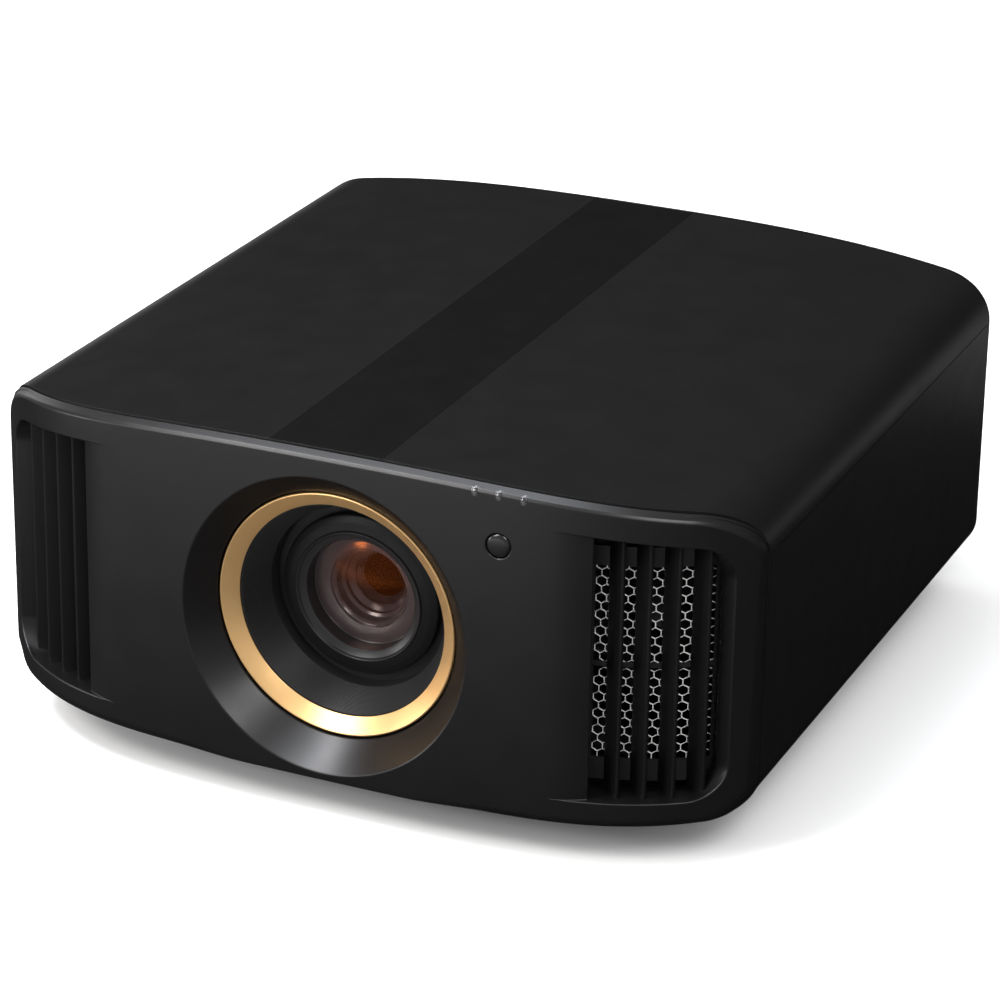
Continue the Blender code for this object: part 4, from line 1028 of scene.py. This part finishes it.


# ---- stage, light, camera ----
# painted reflections: greys that the floor shows only in reflections, over Y and dimmed towards +X; the
# studio's over the direction's Y - 0.8 Z
FLOOR_REFLECTED = ((0.02, 0.56), (0.12, 0.235), (0.20, 0.11), (0.27, 0.075), (0.35, 0.035), (0.42, 0.02),
                   (0.75, 0.02), (0.80, 0.25), (0.90, 0.45))
WORLD_REFLECTED = ((0.10, 0.45), (0.50, 0.28), (0.71, 0.115), (0.75, 0.055), (0.77, 0.034), (0.98, 0.025))
SOFTBOXES = (  # name, place, width, height, power, colour
    ("overhead", (-0.40, -0.30, 2.0), 1.0, 1.2, 24, (0.90, 0.94, 1.0)),
    ("dish_key", (-0.86, -0.74, 2.0), 0.60, 0.50, 29, (0.97, 0.96, 1.0)),
    ("right_fill", (1.40, -1.20, 2.0), 1.0, 1.0, 26, (1, 1, 1)),
    ("left_low", (-2.40, -1.45, 0.36), 0.7, 0.7, 18, (1, 1, 1)),
    ("front_key", (-0.90, -1.58, 1.75), 0.9, 0.6, 22, (1.0, 0.98, 0.95)),
    ("front_fill", (-1.60, -2.60, 1.50), 0.75, 0.55, 22, (1, 1, 1)),
    ("left_strip", (-2.6, 0.9, 0.9), 0.5, 1.4, 8, (1, 1, 1)),
)
LIGHTS_AIM = (0, 0, 0.12)
# solved from the photograph's perspective
CAMERA_AZIMUTH, CAMERA_ELEVATION, CAMERA_ROLL = 25.5079, 23.8792, -0.220
CAMERA_LENS, CAMERA_SHIFT = 138.515, (0.0041, -0.0005)
CAMERA_PLACE = (0.96254, -2.01465, 1.10063)


def graded(tree, value, stops):
    """A grey ramp over a value that runs from -1 to 1; the stops are (position from 0 to 1, grey)."""
    span = add_node(tree, "MapRange", {"From Min": -1.0, "From Max": 1.0, "Value": value})
    grade = add_node(tree, "ValToRGB", {"Fac": span.outputs["Result"]})
    ramp = grade.color_ramp
    while len(ramp.elements) > 1:
        ramp.elements.remove(ramp.elements[-1])
    for number, (position, grey) in enumerate(stops):
        stop = ramp.elements[0] if number == 0 else ramp.elements.new(position)
        stop.position = position
        stop.color = (grey, grey, grey, 1)
    return grade.outputs["Color"]


def for_reflections(tree, direct, reflected):
    """One grey for what is seen or lit directly, and a colour socket for what shows in reflections."""
    glossy = add_node(tree, "LightPath", {}).outputs["Is Glossy Ray"]
    return add_node(tree, "Mix", {MIX_A: (direct, direct, direct, 1), MIX_B: reflected,
                                  MIX_FACTOR: glossy}).outputs[MIX_RESULT]


def make_stage():
    mesh = bpy.data.meshes.new("floor")
    size = 6.0
    corners = [(-size, -size, 0), (size, -size, 0), (size, size, 0), (-size, size, 0)]
    mesh.from_pydata(corners, [], [(0, 1, 2, 3)])
    mat, tree = new_material("floor_pale_painted_reflections")
    place = add_node(tree, "TexCoord", {}).outputs["Object"]
    parts = add_node(tree, "SeparateXYZ", {"Vector": place})
    # painted reflection: in reflections the floor is brighter in front and dimmed towards +X; seen directly
    # it is evenly pale
    grade = graded(tree, parts.outputs["Y"], FLOOR_REFLECTED)
    painted_reflection_fade = add_node(tree, "MapRange", {"From Min": -0.15, "From Max": 0.35, "To Min": 1.0, "To Max": 0.35,
                                       "Value": parts.outputs["X"]})
    painted_floor_reflection = add_node(tree, "VectorMath", {0: grade, "Scale": painted_reflection_fade.outputs["Result"]}, "SCALE")
    feed(tree, tree.nodes["Principled BSDF"], {
        "Roughness": 0.9, "Specular IOR Level": 0.0,
        "Base Color": for_reflections(tree, 0.92, painted_floor_reflection.outputs["Vector"])})
    mesh.materials.append(mat)
    add_object("floor", mesh)

    world = bpy.data.worlds.new("studio")
    bpy.context.scene.world = world
    world.use_nodes = True
    tree = world.node_tree
    direction = add_node(tree, "TexCoord", {}).outputs["Generated"]
    parts = add_node(tree, "SeparateXYZ", {"Vector": direction})
    rise = add_node(tree, "Math", {0: parts.outputs["Z"], 1: -0.8, 2: parts.outputs["Y"]}, "MULTIPLY_ADD")
    grade = graded(tree, rise.outputs["Value"], WORLD_REFLECTED)
    feed(tree, tree.nodes["Background"], {"Color": for_reflections(tree, 1.0, grade), "Strength": 1.0})


def make_lights():
    for name, place, width, height, power, colour in SOFTBOXES:
        light = bpy.data.lights.new(name, "AREA")
        light.shape = "RECTANGLE"
        light.size, light.size_y = width, height
        light.energy = power
        light.color = colour
        obj = add_object(name, light)
        obj.location = place
        obj.rotation_euler = (Vector(LIGHTS_AIM) - Vector(place)).to_track_quat("-Z", "Y").to_euler()


def make_camera():
    azimuth, elevation, roll = (math.radians(a) for a in (CAMERA_AZIMUTH, CAMERA_ELEVATION, CAMERA_ROLL))
    back = Vector((math.sin(azimuth) * math.cos(elevation), -math.cos(azimuth) * math.cos(elevation),
                   math.sin(elevation)))
    right = (-back).cross(Vector((0, 0, 1))).normalized()
    up = right.cross(-back)
    turned_right = right * math.cos(roll) + up * math.sin(roll)
    turned_up = -right * math.sin(roll) + up * math.cos(roll)
    data = bpy.data.cameras.new("camera")
    data.sensor_width = 36.0
    data.lens = CAMERA_LENS
    data.shift_x, data.shift_y = CAMERA_SHIFT
    data.clip_end = 50
    camera = add_object("camera", data)
    matrix = Matrix((turned_right, turned_up, back)).transposed().to_4x4()
    matrix.translation = Vector(CAMERA_PLACE)
    camera.matrix_world = matrix
    bpy.context.scene.camera = camera


build_front_panel()
build_covers()
build_front_details()
for side, name in ((-1, "left"), (1, "right")):
    build_louvres(side, name)
    build_screen(side, name)
build_lens()
build_rear()
build_feet()
dress_frame()
make_stage()
make_lights()
make_camera()
bpy.context.scene.view_settings.view_transform = "Standard"
